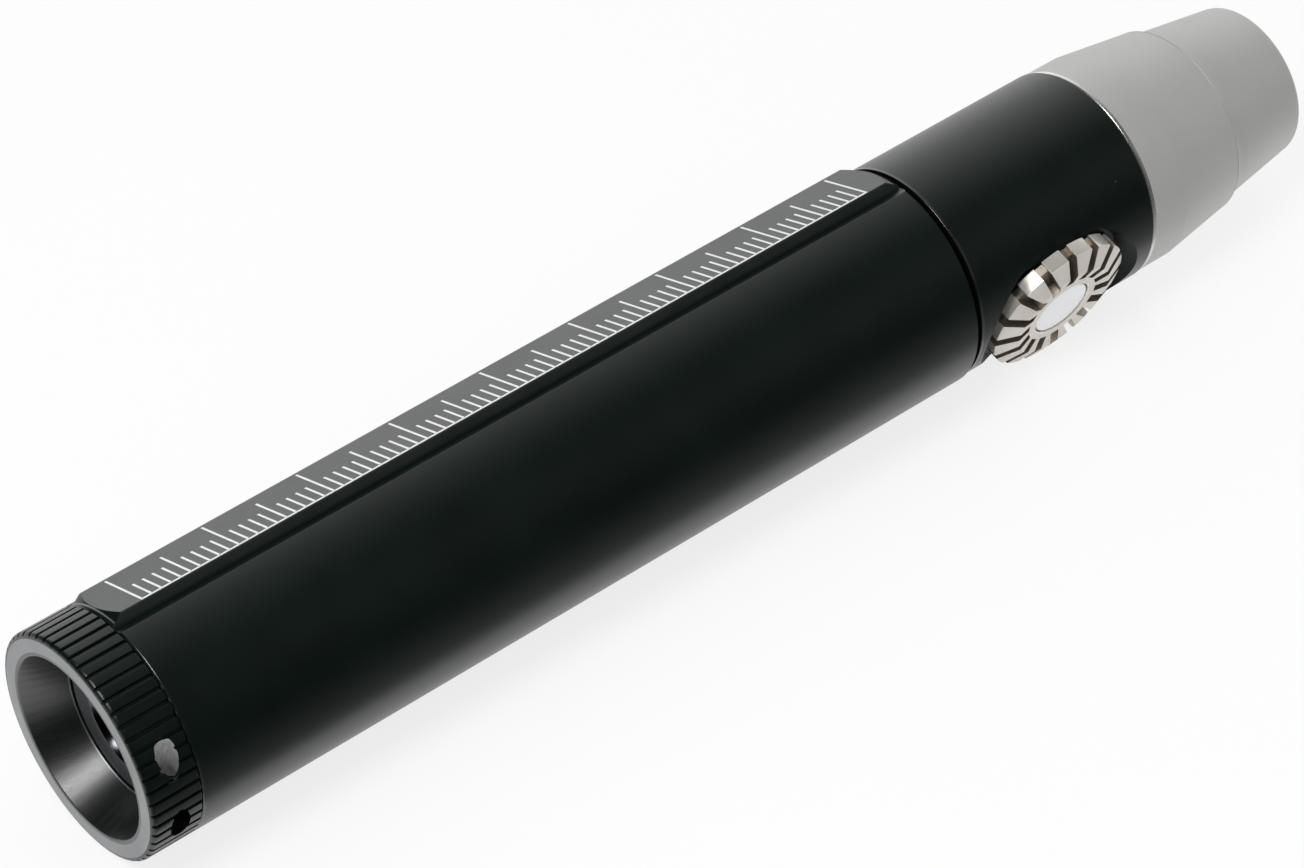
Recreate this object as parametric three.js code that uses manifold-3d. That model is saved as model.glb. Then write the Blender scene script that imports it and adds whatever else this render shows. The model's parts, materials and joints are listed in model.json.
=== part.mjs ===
// A slim metal flashlight with a ruler on its tube, a toothed dimmer dial and a metal tail cone.
// It lies on its tube and on the edge of its dial. X runs along the tube from the light to the tail.

import * as THREE from 'three';
import { mergeVertices } from 'three/addons/utils/BufferGeometryUtils.js';
import Module from 'manifold-3d';

const wasm = await Module();
wasm.setup();

// Clearances in millimetres
const SEAT = 0.25;            // between a piece and the face that it sits on
const SLIP = 0.25;            // round a piece that slides or turns in a bore
const SEAL_SLIP = 0.15;       // round a rubber ring

// Bezel ring with its funnel, as wide as the tube
const RING_LENGTH = 5.0;
const LIP_CHAMFER = 0.5;
const LIP_WIDTH = 1.65;
const FUNNEL_DEPTH = 4.1;
const FUNNEL_SEAT = 0.4;
const FUNNEL_SEAT_WIDTH = 0.8;
const KNURL_COUNT = 54;
const KNURL_WIDTH = 0.4;
const KNURL_DEPTH = 0.3;
const KNURL_PHASE = 3.35;     // degrees
const TUNNEL_RADIUS = 1.0;
const TUNNEL_STATION = 2.8;
const TUNNEL_FROM_RAIL = 104.6; // degrees round the tube, to where its two holes meet
const TUNNEL_SPREAD = 20.7;   // degrees round the tube, from there to each hole's mouth
const TUNNEL_DIP = 14;        // degrees that each hole slopes inward

// Battery tube and its ruler rail
const TUBE_RADIUS = 10.9;
const TUBE_LENGTH = 86.9;
const TUBE_WALL = 1.4;
const TUBE_EDGE = 0.35;       // bevel of the tube's end edges
const RING_GAP = 0.1;
const RAIL_WIDTH = 6.9;
const RAIL_RISE = 0.05;       // rail top above the tube's crown
const RAIL_WALL = 1.1;        // rail top above the ledges beside it

// Threaded joints
const SOCKET_WALL = 1.0;
const THREAD_PITCH = 0.8;
const THREAD_HEIGHT = 0.3;
const THREAD_TURNS = 2.5;
const THREAD_LEAD = 0.4;      // plain length of a spigot at each end of its thread
const SEAL_RADIUS = 0.5;
const SEAL_FROM_ROOT = 0.5;
const SPIGOT_WALL = 0.75;     // under a seal groove

// Lens and light
const RETAINER_THICKNESS = 0.8;
const RETAINER_SETBACK = 0.1;
const APERTURE_RADIUS = 4.2;
const APERTURE_BEVEL_WIDTH = 0.3;
const APERTURE_BEVEL_DEPTH = 0.55;
const GASKET_WIDTH = 2.1;
const LENS_THICKNESS = 1.1;
const LENS_DOME_RADIUS = 3.9;
const LENS_DOME_RISE = 1.5;
const LENS_NUT_THICKNESS = 1.0;
const LENS_NUT_BORE_RADIUS = 4.2;
const LED_DOME_RADIUS = 1.6;
const LED_BASE_SIDE = 3.5;
const LED_BASE_THICKNESS = 0.8;
const LED_BOARD_MARGIN = 0.85; // inside the bezel's bore
const LED_BOARD_THICKNESS = 1.2;
const LED_SCREW_INSET = 1.6;
const PILL_SETBACK = 1.6;     // behind the end of the bezel's spigot
const PILL_PLATE = 3.0;
const PILL_SKIRT = 3.8;
const PILL_WALL = 1.0;

// Screws of the two boards
const SCREW_RADIUS = 0.7;
const SCREW_HEAD_RADIUS = 1.1;
const SCREW_HEAD_HEIGHT = 0.65;
const SCREW_GRIP = 2.2;       // length of the shank past the board

// Driver
const DRIVER_THICKNESS = 1.2;
const DRIVER_SETBACK = 0.8;   // from the pill's rear edge
const COIL_RADIUS = 2.4;
const COIL_HEIGHT = 1.2;
const CHIP_SIDE = 3.0;
const CHIP_HEIGHT = 0.9;
const DRIVER_PARTS_INSET = 2.2;
const CONTACT_RADIUS = 2.0;
const CONTACT_LENGTH = 1.8;
const INSULATOR_THICKNESS = 1.0;

// Cell and rear contact
const CELL_CLEARANCE = 0.3;
const CELL_CAP_RADIUS = 2.8;
const CELL_CAP_LENGTH = 1.25;
const CELL_WASHER_THICKNESS = 0.3;
const SPRING_LENGTH = 5.2;
const SPRING_MARGIN = 1.0;    // from the spring to the contact ring round it
const SPRING_WIRE_RADIUS = 0.45;
const SPRING_TURNS = 3;
const REAR_BOARD_THICKNESS = 1.2;
const CONTACT_RING_THICKNESS = 1.0;
const CONTACT_RING_WIDTH = 1.6;

// Dial housing
const HEAD_STEP = 0.2;        // from the tube's surface down to the housing's
const HEAD_LENGTH = 21.6;
const HEAD_GAP = 0.25;
const HEAD_EDGE = 0.25;
const HEAD_WALL = 3.9;
const HEAD_SHOULDER = 0.75;   // behind the housing's front edge
const DIAL_OFFSET = 0.3;      // of the dial's axis, forward of the housing's middle
const DIAL_FROM_RAIL = 128.3; // degrees round the tube
const POCKET_DEPTH = 2.2;
const POCKET_FLOOR_RADIUS = 8.05;
const POCKET_RIM_RADIUS = 9.45;

// Dial and button
const DIAL_RADIUS = 7.6;
const DIAL_SIDE = 1.58;
const DIAL_KNEE_RADIUS = 5.4;  // where the teeth's tops are highest
const DIAL_KNEE_RISE = 0.8;    // from the rim up to the knee
const DIAL_DISH = 0.3;         // from the knee down to the hub
const DIAL_HUB_RADIUS = 3.8;
const DIAL_TEETH = 16;
const DIAL_PHASE = 4.1;       // degrees
const SLOT_WIDTH = 0.95;
const SLOT_DEPTH = 0.7;
const SLOT_END_RADIUS = 3.95;
const NOTCH_DEPTH = 0.55;
const BUTTON_RADIUS = 3.0;
const BUTTON_THICKNESS = 0.38;
const BUTTON_SETBACK = 0.05;
const BUTTON_CROWN = 0.08;
const BUTTON_TRAVEL = 0.45;
const BUTTON_WELL = 1.83;
const PLUNGER_RADIUS = 0.7;
const PLUNGER_HEAD_RADIUS = 2.2;
const PLUNGER_HEAD_THICKNESS = 0.2;
const SHAFT_WALL = 0.55;
const SHAFT_FLANGE_RADIUS = 2.6;
const SHAFT_FLANGE_THICKNESS = 0.2;
const BUSHING_WALL = 0.45;
const BUSHING_FLANGE_WIDTH = 0.6;
const BUSHING_FLANGE_THICKNESS = 0.4;
const CLIP_THICKNESS = 0.3;
const CLIP_WIDTH = 0.6;

// Electronics under the dial
const BOARD_LEVEL = -0.8;     // underside of the control board, from the flashlight's axis
const BOARD_THICKNESS = 1.2;
const CARRIER_MARGIN = 0.6;
const BOARD_SCREW_INSET = 2.0;
const SWITCH_SIDE = 3.0;
const SWITCH_HEIGHT = 0.6;
const DIMMER_LENGTH = 5.6;
const DIMMER_WIDTH = 5.8;
const DIMMER_LEG = 0.9;
const CAPACITOR_RADIUS = 1.8;
const CAPACITOR_LENGTH = 6.0;
const CAPACITOR_DROP = 2.4;   // its axis below the control board

// Tail cone
const TAIL_GAP = 0.1;
const TAIL_STEP = 0.1;        // from the housing's surface down to the collar's
const TAIL_COLLAR_LENGTH = 4.2;
const TAIL_TAPER_LENGTH = 7.9;
const TAIL_TAPER_DROP = 1.1;
const TAIL_NECK_LENGTH = 1.9;
const TAIL_NECK_DROP = 0.7;
const TAIL_END_LENGTH = 8.2;
const TAIL_END_DROP = 1.2;
const TAIL_EDGE = 0.8;
const TAIL_SOCKET_WALL = 1.2; // under the dial's pocket
const TAIL_FLOOR = 5.0;       // thickness of the closed end

// Fineness of round shapes
const BODY_SIDES = 48;
const INNER_SIDES = 28;
const SMALL_SIDES = 16;
const ARC_STEPS = 5;
const TURN_STEPS = 24;
const CURL_STEPS = 8;
const WIRE_SIDES = 5;

const OVERCUT = 1;            // how far a cutter runs past the face that it cuts
const EMBED = 0.15;           // how far a joined shape reaches into its base

// The three spigots share their seal groove, thread and length.
const SEAL_HALF_GROOVE = SEAL_RADIUS + SEAL_SLIP;
const SEAL_TO_SHOULDER = SEAL_FROM_ROOT + SEAL_HALF_GROOVE;
const THREAD_TO_SEAL = SEAL_HALF_GROOVE + THREAD_LEAD;
const THREAD_LENGTH = THREAD_PITCH * THREAD_TURNS;
const SPIGOT_LENGTH = SEAL_TO_SHOULDER + THREAD_TO_SEAL + THREAD_LENGTH + THREAD_LEAD;

// Stations along the axis, from the front lip
const BEZEL_END = RING_LENGTH + SPIGOT_LENGTH;
const TUBE_FRONT = RING_LENGTH + RING_GAP;
const TUBE_REAR = TUBE_FRONT + TUBE_LENGTH;
const HEAD_FRONT = TUBE_REAR + HEAD_GAP;
const HEAD_REAR = HEAD_FRONT + HEAD_LENGTH;
const HEAD_SPIGOT_END = HEAD_FRONT - SPIGOT_LENGTH;
const TAIL_FRONT = HEAD_REAR + TAIL_GAP;
const TAIL_TAPER_START = TAIL_FRONT + TAIL_COLLAR_LENGTH;
const TAIL_NECK_START = TAIL_TAPER_START + TAIL_TAPER_LENGTH;
const TAIL_END_START = TAIL_NECK_START + TAIL_NECK_LENGTH;
const TAIL_REAR = TAIL_END_START + TAIL_END_LENGTH;
const DIAL_X = HEAD_FRONT + HEAD_LENGTH / 2 - DIAL_OFFSET;

// Radii that follow from the tube's
const sealCentre = (socketRadius) => socketRadius - SEAL_SLIP - SEAL_RADIUS;
const sealFloor = (socketRadius) => sealCentre(socketRadius) - SEAL_HALF_GROOVE;
const spigotBore = (socketRadius) => sealFloor(socketRadius) - SPIGOT_WALL;
const TUBE_BORE_RADIUS = TUBE_RADIUS - TUBE_WALL;
const TUBE_EDGE_RADIUS = TUBE_RADIUS - TUBE_EDGE;
const SOCKET_RADIUS = TUBE_RADIUS - SOCKET_WALL;
const SPIGOT_RADIUS = SOCKET_RADIUS - SLIP - THREAD_HEIGHT;
const SPIGOT_BORE_RADIUS = spigotBore(SOCKET_RADIUS);
const INSERT_RADIUS = SPIGOT_BORE_RADIUS - SLIP;
const RAIL_TOP = TUBE_RADIUS + RAIL_RISE;
const LEDGE_LEVEL = RAIL_TOP - RAIL_WALL;
const LIP_RADIUS = TUBE_RADIUS - LIP_CHAMFER;
const FUNNEL_MOUTH_RADIUS = LIP_RADIUS - LIP_WIDTH;
const FUNNEL_THROAT_RADIUS = SPIGOT_BORE_RADIUS - FUNNEL_SEAT_WIDTH;
const HEAD_RADIUS = TUBE_RADIUS - HEAD_STEP;
const HEAD_BORE_RADIUS = HEAD_RADIUS - HEAD_WALL;
const TAIL_COLLAR_RADIUS = HEAD_RADIUS - TAIL_STEP;
const TAIL_TAPER_RADIUS = TAIL_COLLAR_RADIUS - TAIL_TAPER_DROP;
const TAIL_NECK_RADIUS = TAIL_TAPER_RADIUS - TAIL_NECK_DROP;
const TAIL_END_RADIUS = TAIL_NECK_RADIUS - TAIL_END_DROP;

// Levels on the dial's axis, from the flashlight's axis
const POCKET_FLOOR = HEAD_RADIUS - POCKET_DEPTH;
const DIAL_BASE = POCKET_FLOOR + SEAT;
const DIAL_RIM = DIAL_BASE + DIAL_SIDE;
const DIAL_KNEE = DIAL_RIM + DIAL_KNEE_RISE;
const DIAL_TOP = DIAL_KNEE - DIAL_DISH;
const TAIL_SOCKET_RADIUS = POCKET_FLOOR - TAIL_SOCKET_WALL;

const RAIL_ANGLE = Math.PI / 2;
const DIAL_ANGLE = RAIL_ANGLE + THREE.MathUtils.degToRad(DIAL_FROM_RAIL);

// The flashlight rolls until the dial's rim and the tube touch the same surface.
const DIAL_REACH = Math.hypot(DIAL_RIM, DIAL_RADIUS);
const DIAL_DROOP = Math.asin(TUBE_RADIUS / DIAL_REACH) - Math.atan2(DIAL_RADIUS, DIAL_RIM);
const REST_ROLL = Math.PI + DIAL_DROOP - DIAL_ANGLE;

const material = (color, roughness, metalness) => (
  new THREE.MeshStandardMaterial({ color, roughness, metalness })
);
const BLACK_ANODISED = material(0x0c100f, 0.42, 0.6);
const GREY_METAL = material(0xa5a5a0, 0.5, 0.9);
const NICKEL = material(0xc8c3b9, 0.25, 1.0);
const BRASS = material(0xb08d4a, 0.35, 1.0);
const STEEL = material(0x8d9094, 0.35, 1.0);
const ALUMINIUM = material(0x77797b, 0.4, 0.9);
const DARK_GLASS = material(0x0a0812, 0.06, 0.0);
const CLEAR_RESIN = material(0xd8dce8, 0.1, 0.0);
const CERAMIC = material(0xe6e2d6, 0.5, 0.0);
const BLACK_RUBBER = material(0x141414, 0.8, 0.0);
const BLACK_PLASTIC = material(0x1b1c1e, 0.55, 0.0);
const WHITE_PLASTIC = material(0xe6e8f0, 0.3, 0.0);
const WHITE_PAPER = material(0xe8e6df, 0.8, 0.0);
const BLUE_WRAP = material(0x2b4f86, 0.4, 0.0);
const GREEN_BOARD = material(0x1f5a3a, 0.5, 0.0);
const FERRITE = material(0x3a3a3c, 0.7, 0.0);

// Solids

// Turns a closed geometry into a solid that can be joined and cut.
function solidOf(geometry) {
  const bare = geometry.clone();
  bare.deleteAttribute('normal');
  bare.deleteAttribute('uv');
  const merged = mergeVertices(bare);
  const places = merged.attributes.position;
  const corner = (index) => new THREE.Vector3().fromBufferAttribute(places, index);
  const triangles = [];
  let volume = 0;
  for (let i = 0; i < merged.index.count; i += 3) {
    const [a, b, c] = [0, 1, 2].map((k) => merged.index.getX(i + k));
    if (a === b || b === c || c === a) continue;
    triangles.push([a, b, c]);
    volume += corner(a).dot(corner(b).cross(corner(c)));
  }
  const outward = volume > 0 ? triangles : triangles.map(([a, b, c]) => [a, c, b]);
  return new wasm.Manifold(new wasm.Mesh({
    numProp: 3,
    vertProperties: new Float32Array(places.array),
    triVerts: new Uint32Array(outward.flat()),
  }));
}

function geometryOf(solid) {
  const mesh = solid.getMesh();
  const geometry = new THREE.BufferGeometry();
  geometry.setAttribute('position', new THREE.BufferAttribute(new Float32Array(mesh.vertProperties), 3));
  geometry.setIndex(new THREE.BufferAttribute(new Uint32Array(mesh.triVerts), 1));
  geometry.computeVertexNormals();
  return geometry;
}

const X = new THREE.Vector3(1, 0, 0);
const Y = new THREE.Vector3(0, 1, 0);
const Z = new THREE.Vector3(0, 0, 1);
const LATHE_TO_X = new THREE.Matrix4().makeBasis(Y, X, Z.clone().negate());
const LATHE_TO_Z = new THREE.Matrix4().makeBasis(X, Z, Y.clone().negate());
const EXTRUDE_TO_X = new THREE.Matrix4().makeBasis(Y, Z, X);

// A profile is a list of [place on the axis, radius]. One that leaves the axis open is closed on itself.
function latheGeometry(profile, sides) {
  const points = profile.map(([place, radius]) => new THREE.Vector2(radius, place));
  if (profile[0][1] > 0) points.push(points[0].clone());
  return new THREE.LatheGeometry(points, sides);
}

const turnedOnX = (profile, sides) => solidOf(latheGeometry(profile, sides).applyMatrix4(LATHE_TO_X));
const turnedOnZ = (profile, sides) => solidOf(latheGeometry(profile, sides).applyMatrix4(LATHE_TO_Z));

const rodProfile = (from, to, radius) => [[from, 0], [from, radius], [to, radius], [to, 0]];
const ringProfile = (from, to, inner, outer) => [[from, inner], [from, outer], [to, outer], [to, inner]];

// Rods and rings along X or Z, from one place on the turning axis to another.
const rodOnX = (from, to, radius, sides) => turnedOnX(rodProfile(from, to, radius), sides);
const rodOnZ = (from, to, radius, sides) => turnedOnZ(rodProfile(from, to, radius), sides);
const ringOnX = (from, to, inner, outer, sides) => turnedOnX(ringProfile(from, to, inner, outer), sides);
const ringOnZ = (from, to, inner, outer, sides) => turnedOnZ(ringProfile(from, to, inner, outer), sides);

// A box given by its lowest and highest corners.
function block([x0, y0, z0], [x1, y1, z1]) {
  const box = new THREE.BoxGeometry(x1 - x0, y1 - y0, z1 - z0);
  return solidOf(box.translate((x0 + x1) / 2, (y0 + y1) / 2, (z0 + z1) / 2));
}

// Places on a circular arc of a profile, from one angle to another.
function arc(place, radius, size, from, to) {
  return Array.from({ length: ARC_STEPS + 1 }, (_, i) => {
    const angle = from + (to - from) * i / ARC_STEPS;
    return [place + size * Math.cos(angle), radius + size * Math.sin(angle)];
  });
}

// A closed tube through rings of points, with a flat cap at each end.
function sweptSolid(rings) {
  const sides = rings[0].length;
  const places = rings.flat().flatMap((point) => point.toArray());
  const index = [];
  for (let i = 0; i + 1 < rings.length; i += 1) {
    for (let j = 0; j < sides; j += 1) {
      const [a, b] = [i * sides + j, i * sides + (j + 1) % sides];
      index.push(a, b, b + sides, a, b + sides, a + sides);
    }
  }
  const last = (rings.length - 1) * sides;
  for (let j = 1; j + 1 < sides; j += 1) {
    index.push(0, j + 1, j, last, last + j, last + j + 1);
  }
  const geometry = new THREE.BufferGeometry();
  geometry.setAttribute('position', new THREE.Float32BufferAttribute(places, 3));
  geometry.setIndex(index);
  return solidOf(geometry);
}

const onCircle = (place, radius, angle) => (
  new THREE.Vector3(place, radius * Math.cos(angle), radius * Math.sin(angle))
);

// A right-hand thread ridge round a spigot.
function threadRidge(start, radius) {
  const foot = radius - EMBED;
  const crest = radius + THREAD_HEIGHT;
  const footHalf = THREAD_PITCH * 0.35;
  const crestHalf = THREAD_PITCH * 0.12;
  const steps = THREAD_TURNS * TURN_STEPS;
  return sweptSolid(Array.from({ length: steps + 1 }, (_, i) => {
    const angle = 2 * Math.PI * i / TURN_STEPS;
    const place = start + THREAD_PITCH * i / TURN_STEPS;
    return [
      onCircle(place - footHalf, foot, angle),
      onCircle(place - crestHalf, crest, angle),
      onCircle(place + crestHalf, crest, angle),
      onCircle(place + footHalf, foot, angle),
    ];
  }));
}

function sealRing(place, socketRadius) {
  const profile = arc(place, sealCentre(socketRadius), SEAL_RADIUS, 0, 2 * Math.PI).slice(0, -1);
  return turnedOnX(profile, BODY_SIDES);
}

const sealGroove = (place, socketRadius) => ringOnX(
  place - SEAL_HALF_GROOVE, place + SEAL_HALF_GROOVE,
  sealFloor(socketRadius), socketRadius + OVERCUT, BODY_SIDES,
);

const BEZEL_SEAL = RING_LENGTH + SEAL_TO_SHOULDER;
const HEAD_SEAL = HEAD_FRONT - SEAL_TO_SHOULDER;
const TAIL_SEAL = TAIL_FRONT - SEAL_TO_SHOULDER;

// Scene graph

const flashlight = new THREE.Group();
const dialStack = new THREE.Group();
dialStack.position.x = DIAL_X;
dialStack.rotation.x = DIAL_ANGLE - RAIL_ANGLE;
flashlight.add(dialStack);

function addPiece(parent, name, solid, finish) {
  const mesh = new THREE.Mesh(geometryOf(solid), finish);
  mesh.name = name;
  parent.add(mesh);
}

// Bezel

function knurlGrooves() {
  const floor = TUBE_RADIUS - KNURL_DEPTH;
  const groove = new THREE.BoxGeometry(RING_LENGTH + 2 * OVERCUT, KNURL_WIDTH, KNURL_DEPTH + OVERCUT);
  groove.translate(RING_LENGTH / 2, 0, floor + (KNURL_DEPTH + OVERCUT) / 2);
  const turn = 2 * Math.PI / KNURL_COUNT;
  const phase = THREE.MathUtils.degToRad(KNURL_PHASE);
  const grooves = Array.from(
    { length: KNURL_COUNT }, (_, i) => solidOf(groove.clone().rotateX(phase + turn * i)),
  );
  return grooves.reduce((all, one) => all.add(one));
}

// Two slanted holes meet below the surface, so that a lanyard goes in and out of the ring's side.
function lanyardTunnel() {
  const spread = THREE.MathUtils.degToRad(TUNNEL_SPREAD);
  const dip = THREE.MathUtils.degToRad(TUNNEL_DIP);
  const meeting = TUBE_RADIUS * (Math.cos(spread) - Math.sin(spread) * Math.tan(dip));
  const overlap = TUNNEL_RADIUS * Math.tan(dip);
  const [front, back] = [dip, Math.PI - dip].map((slope) => {
    const rod = new THREE.CylinderGeometry(TUNNEL_RADIUS, TUNNEL_RADIUS, TUBE_RADIUS, SMALL_SIDES);
    rod.translate(0, TUBE_RADIUS / 2 - overlap, 0);
    rod.rotateX(slope);
    rod.translate(TUNNEL_STATION, 0, meeting);
    return solidOf(rod.rotateX(THREE.MathUtils.degToRad(TUNNEL_FROM_RAIL)));
  });
  return front.add(back);
}

function bezelRing() {
  const funnelSeat = FUNNEL_DEPTH + FUNNEL_SEAT;
  const body = turnedOnX([
    [0, FUNNEL_MOUTH_RADIUS],
    [0, LIP_RADIUS],
    [LIP_CHAMFER, TUBE_RADIUS],
    [RING_LENGTH, TUBE_RADIUS],
    [RING_LENGTH, SPIGOT_RADIUS],
    [BEZEL_END, SPIGOT_RADIUS],
    [BEZEL_END, SPIGOT_BORE_RADIUS],
    [funnelSeat, SPIGOT_BORE_RADIUS],
    [funnelSeat, FUNNEL_THROAT_RADIUS],
    [FUNNEL_DEPTH, FUNNEL_THROAT_RADIUS],
  ], BODY_SIDES);
  return body
    .subtract(knurlGrooves())
    .subtract(lanyardTunnel())
    .subtract(sealGroove(BEZEL_SEAL, SOCKET_RADIUS))
    .add(threadRidge(BEZEL_SEAL + THREAD_TO_SEAL, SPIGOT_RADIUS));
}

const RETAINER_FRONT = FUNNEL_DEPTH + RETAINER_SETBACK;
const RETAINER_FLANGE = FUNNEL_DEPTH + FUNNEL_SEAT + SEAT;
const RETAINER_REAR = RETAINER_FLANGE + RETAINER_THICKNESS;
const LENS_FRONT = RETAINER_REAR + SEAT;
const LENS_REAR = LENS_FRONT + LENS_THICKNESS;
const LENS_NUT_FRONT = LENS_REAR + SEAT;
const LENS_NUT_REAR = LENS_NUT_FRONT + LENS_NUT_THICKNESS;
const GASKET_BORE_RADIUS = INSERT_RADIUS - GASKET_WIDTH;
const LENS_RADIUS = GASKET_BORE_RADIUS - SLIP;

function lensRetainer() {
  return turnedOnX([
    [RETAINER_FRONT, APERTURE_RADIUS + APERTURE_BEVEL_WIDTH],
    [RETAINER_FRONT, FUNNEL_THROAT_RADIUS - SLIP],
    [RETAINER_FLANGE, FUNNEL_THROAT_RADIUS - SLIP],
    [RETAINER_FLANGE, INSERT_RADIUS],
    [RETAINER_REAR, INSERT_RADIUS],
    [RETAINER_REAR, APERTURE_RADIUS],
    [RETAINER_FRONT + APERTURE_BEVEL_DEPTH, APERTURE_RADIUS],
  ], BODY_SIDES);
}

function filterLens() {
  const ball = (LENS_DOME_RADIUS ** 2 + LENS_DOME_RISE ** 2) / (2 * LENS_DOME_RISE);
  const spread = Math.asin(LENS_DOME_RADIUS / ball);
  const dome = arc(LENS_FRONT - LENS_DOME_RISE + ball, 0, ball, Math.PI, Math.PI - spread);
  dome[0][1] = 0;
  return turnedOnX([
    ...dome,
    [LENS_FRONT, LENS_RADIUS],
    [LENS_REAR, LENS_RADIUS],
    [LENS_REAR, 0],
  ], INNER_SIDES);
}

addPiece(flashlight, 'bezel_ring', bezelRing(), BLACK_ANODISED);
addPiece(flashlight, 'bezel_oring', sealRing(BEZEL_SEAL, SOCKET_RADIUS), BLACK_RUBBER);
addPiece(flashlight, 'lens_retainer', lensRetainer(), ALUMINIUM);
addPiece(flashlight, 'filter_lens', filterLens(), DARK_GLASS);
addPiece(
  flashlight, 'lens_gasket',
  ringOnX(LENS_FRONT, LENS_REAR, GASKET_BORE_RADIUS, INSERT_RADIUS, INNER_SIDES), BLACK_RUBBER,
);
addPiece(
  flashlight, 'lens_nut',
  ringOnX(LENS_NUT_FRONT, LENS_NUT_REAR, LENS_NUT_BORE_RADIUS, INSERT_RADIUS, INNER_SIDES), ALUMINIUM,
);

// Battery tube

function batteryTube() {
  const railHalf = RAIL_WIDTH / 2;
  const ledgeHalf = Math.sqrt(TUBE_RADIUS ** 2 - LEDGE_LEVEL ** 2);
  const ledgeAngle = Math.atan2(LEDGE_LEVEL, ledgeHalf);
  const outline = new THREE.Shape();
  outline.moveTo(ledgeHalf, LEDGE_LEVEL);
  outline.lineTo(railHalf, LEDGE_LEVEL);
  outline.lineTo(railHalf, RAIL_TOP);
  outline.lineTo(-railHalf, RAIL_TOP);
  outline.lineTo(-railHalf, LEDGE_LEVEL);
  outline.lineTo(-ledgeHalf, LEDGE_LEVEL);
  outline.absarc(0, 0, TUBE_RADIUS, Math.PI - ledgeAngle, 2 * Math.PI + ledgeAngle, false);
  const extrusion = new THREE.ExtrudeGeometry(outline, {
    depth: TUBE_LENGTH, bevelEnabled: false, curveSegments: BODY_SIDES,
  });
  const blank = solidOf(extrusion.applyMatrix4(EXTRUDE_TO_X).translate(TUBE_FRONT, 0, 0));

  // The ends are turned to a bevel that also cuts the rail's corners.
  const cornerRadius = Math.hypot(railHalf, RAIL_TOP) + OVERCUT;
  const bevel = cornerRadius - TUBE_EDGE_RADIUS;
  const ends = turnedOnX([
    [TUBE_FRONT, 0],
    [TUBE_FRONT, TUBE_EDGE_RADIUS],
    [TUBE_FRONT + bevel, cornerRadius],
    [TUBE_REAR - bevel, cornerRadius],
    [TUBE_REAR, TUBE_EDGE_RADIUS],
    [TUBE_REAR, 0],
  ], BODY_SIDES);
  const socketDepth = SPIGOT_LENGTH + SEAT;
  return blank
    .intersect(ends)
    .subtract(rodOnX(TUBE_FRONT - OVERCUT, TUBE_REAR + OVERCUT, TUBE_BORE_RADIUS, BODY_SIDES))
    .subtract(rodOnX(TUBE_FRONT - OVERCUT, TUBE_FRONT + socketDepth, SOCKET_RADIUS, BODY_SIDES))
    .subtract(rodOnX(TUBE_REAR - socketDepth, TUBE_REAR + OVERCUT, SOCKET_RADIUS, BODY_SIDES));
}

addPiece(flashlight, 'battery_tube', batteryTube(), BLACK_ANODISED);

// Light engine

const PILL_FRONT = BEZEL_END + PILL_SETBACK;
const PILL_CAVITY = PILL_FRONT + PILL_PLATE;
const PILL_REAR = PILL_CAVITY + PILL_SKIRT;
const PILL_RADIUS = TUBE_BORE_RADIUS - SLIP;
const PILL_CAVITY_RADIUS = PILL_RADIUS - PILL_WALL;
const LED_BOARD_REAR = PILL_FRONT - SEAT;
const LED_BOARD_FRONT = LED_BOARD_REAR - LED_BOARD_THICKNESS;
const LED_BASE_REAR = LED_BOARD_FRONT - SEAT;
const LED_BASE_FRONT = LED_BASE_REAR - LED_BASE_THICKNESS;
const LED_DOME_BASE = LED_BASE_FRONT - SEAT;
const LED_BOARD_RADIUS = SPIGOT_BORE_RADIUS - LED_BOARD_MARGIN;
const LED_SCREW_OFFSET = LED_BOARD_RADIUS - LED_SCREW_INSET;
const LED_SCREW_SIDES = [['left', -1], ['right', 1]];

const ledScrewHole = (from, to, side) => solidOf(
  latheGeometry(rodProfile(from, to, SCREW_RADIUS + SLIP), SMALL_SIDES)
    .applyMatrix4(LATHE_TO_X).translate(0, side * LED_SCREW_OFFSET, 0),
);

function ledScrew(side) {
  const tip = LED_BOARD_REAR + SCREW_GRIP;
  const headRear = LED_BOARD_FRONT - SEAT;
  const headFront = headRear - SCREW_HEAD_HEIGHT;
  const screw = latheGeometry([
    [headFront, 0],
    [headFront, SCREW_HEAD_RADIUS],
    [headRear, SCREW_HEAD_RADIUS],
    [headRear, SCREW_RADIUS],
    [tip, SCREW_RADIUS],
    [tip, 0],
  ], SMALL_SIDES);
  return solidOf(screw.applyMatrix4(LATHE_TO_X).translate(0, side * LED_SCREW_OFFSET, 0));
}

function ledBoard() {
  const disc = rodOnX(LED_BOARD_FRONT, LED_BOARD_REAR, LED_BOARD_RADIUS, INNER_SIDES);
  const [from, to] = [LED_BOARD_FRONT - OVERCUT, LED_BOARD_REAR + OVERCUT];
  return LED_SCREW_SIDES.reduce((board, [, side]) => board.subtract(ledScrewHole(from, to, side)), disc);
}

function ledPill() {
  const cup = turnedOnX([
    [PILL_FRONT, 0],
    [PILL_FRONT, PILL_RADIUS],
    [PILL_REAR, PILL_RADIUS],
    [PILL_REAR, PILL_CAVITY_RADIUS],
    [PILL_CAVITY, PILL_CAVITY_RADIUS],
    [PILL_CAVITY, 0],
  ], BODY_SIDES);
  const holeEnd = LED_BOARD_REAR + SCREW_GRIP + SEAT;
  return LED_SCREW_SIDES.reduce(
    (pill, [, side]) => pill.subtract(ledScrewHole(PILL_FRONT - OVERCUT, holeEnd, side)), cup,
  );
}

const ledDome = arc(LED_DOME_BASE, 0, LED_DOME_RADIUS, Math.PI, Math.PI / 2);
ledDome[0][1] = 0;
const ledHalf = LED_BASE_SIDE / 2;

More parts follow.
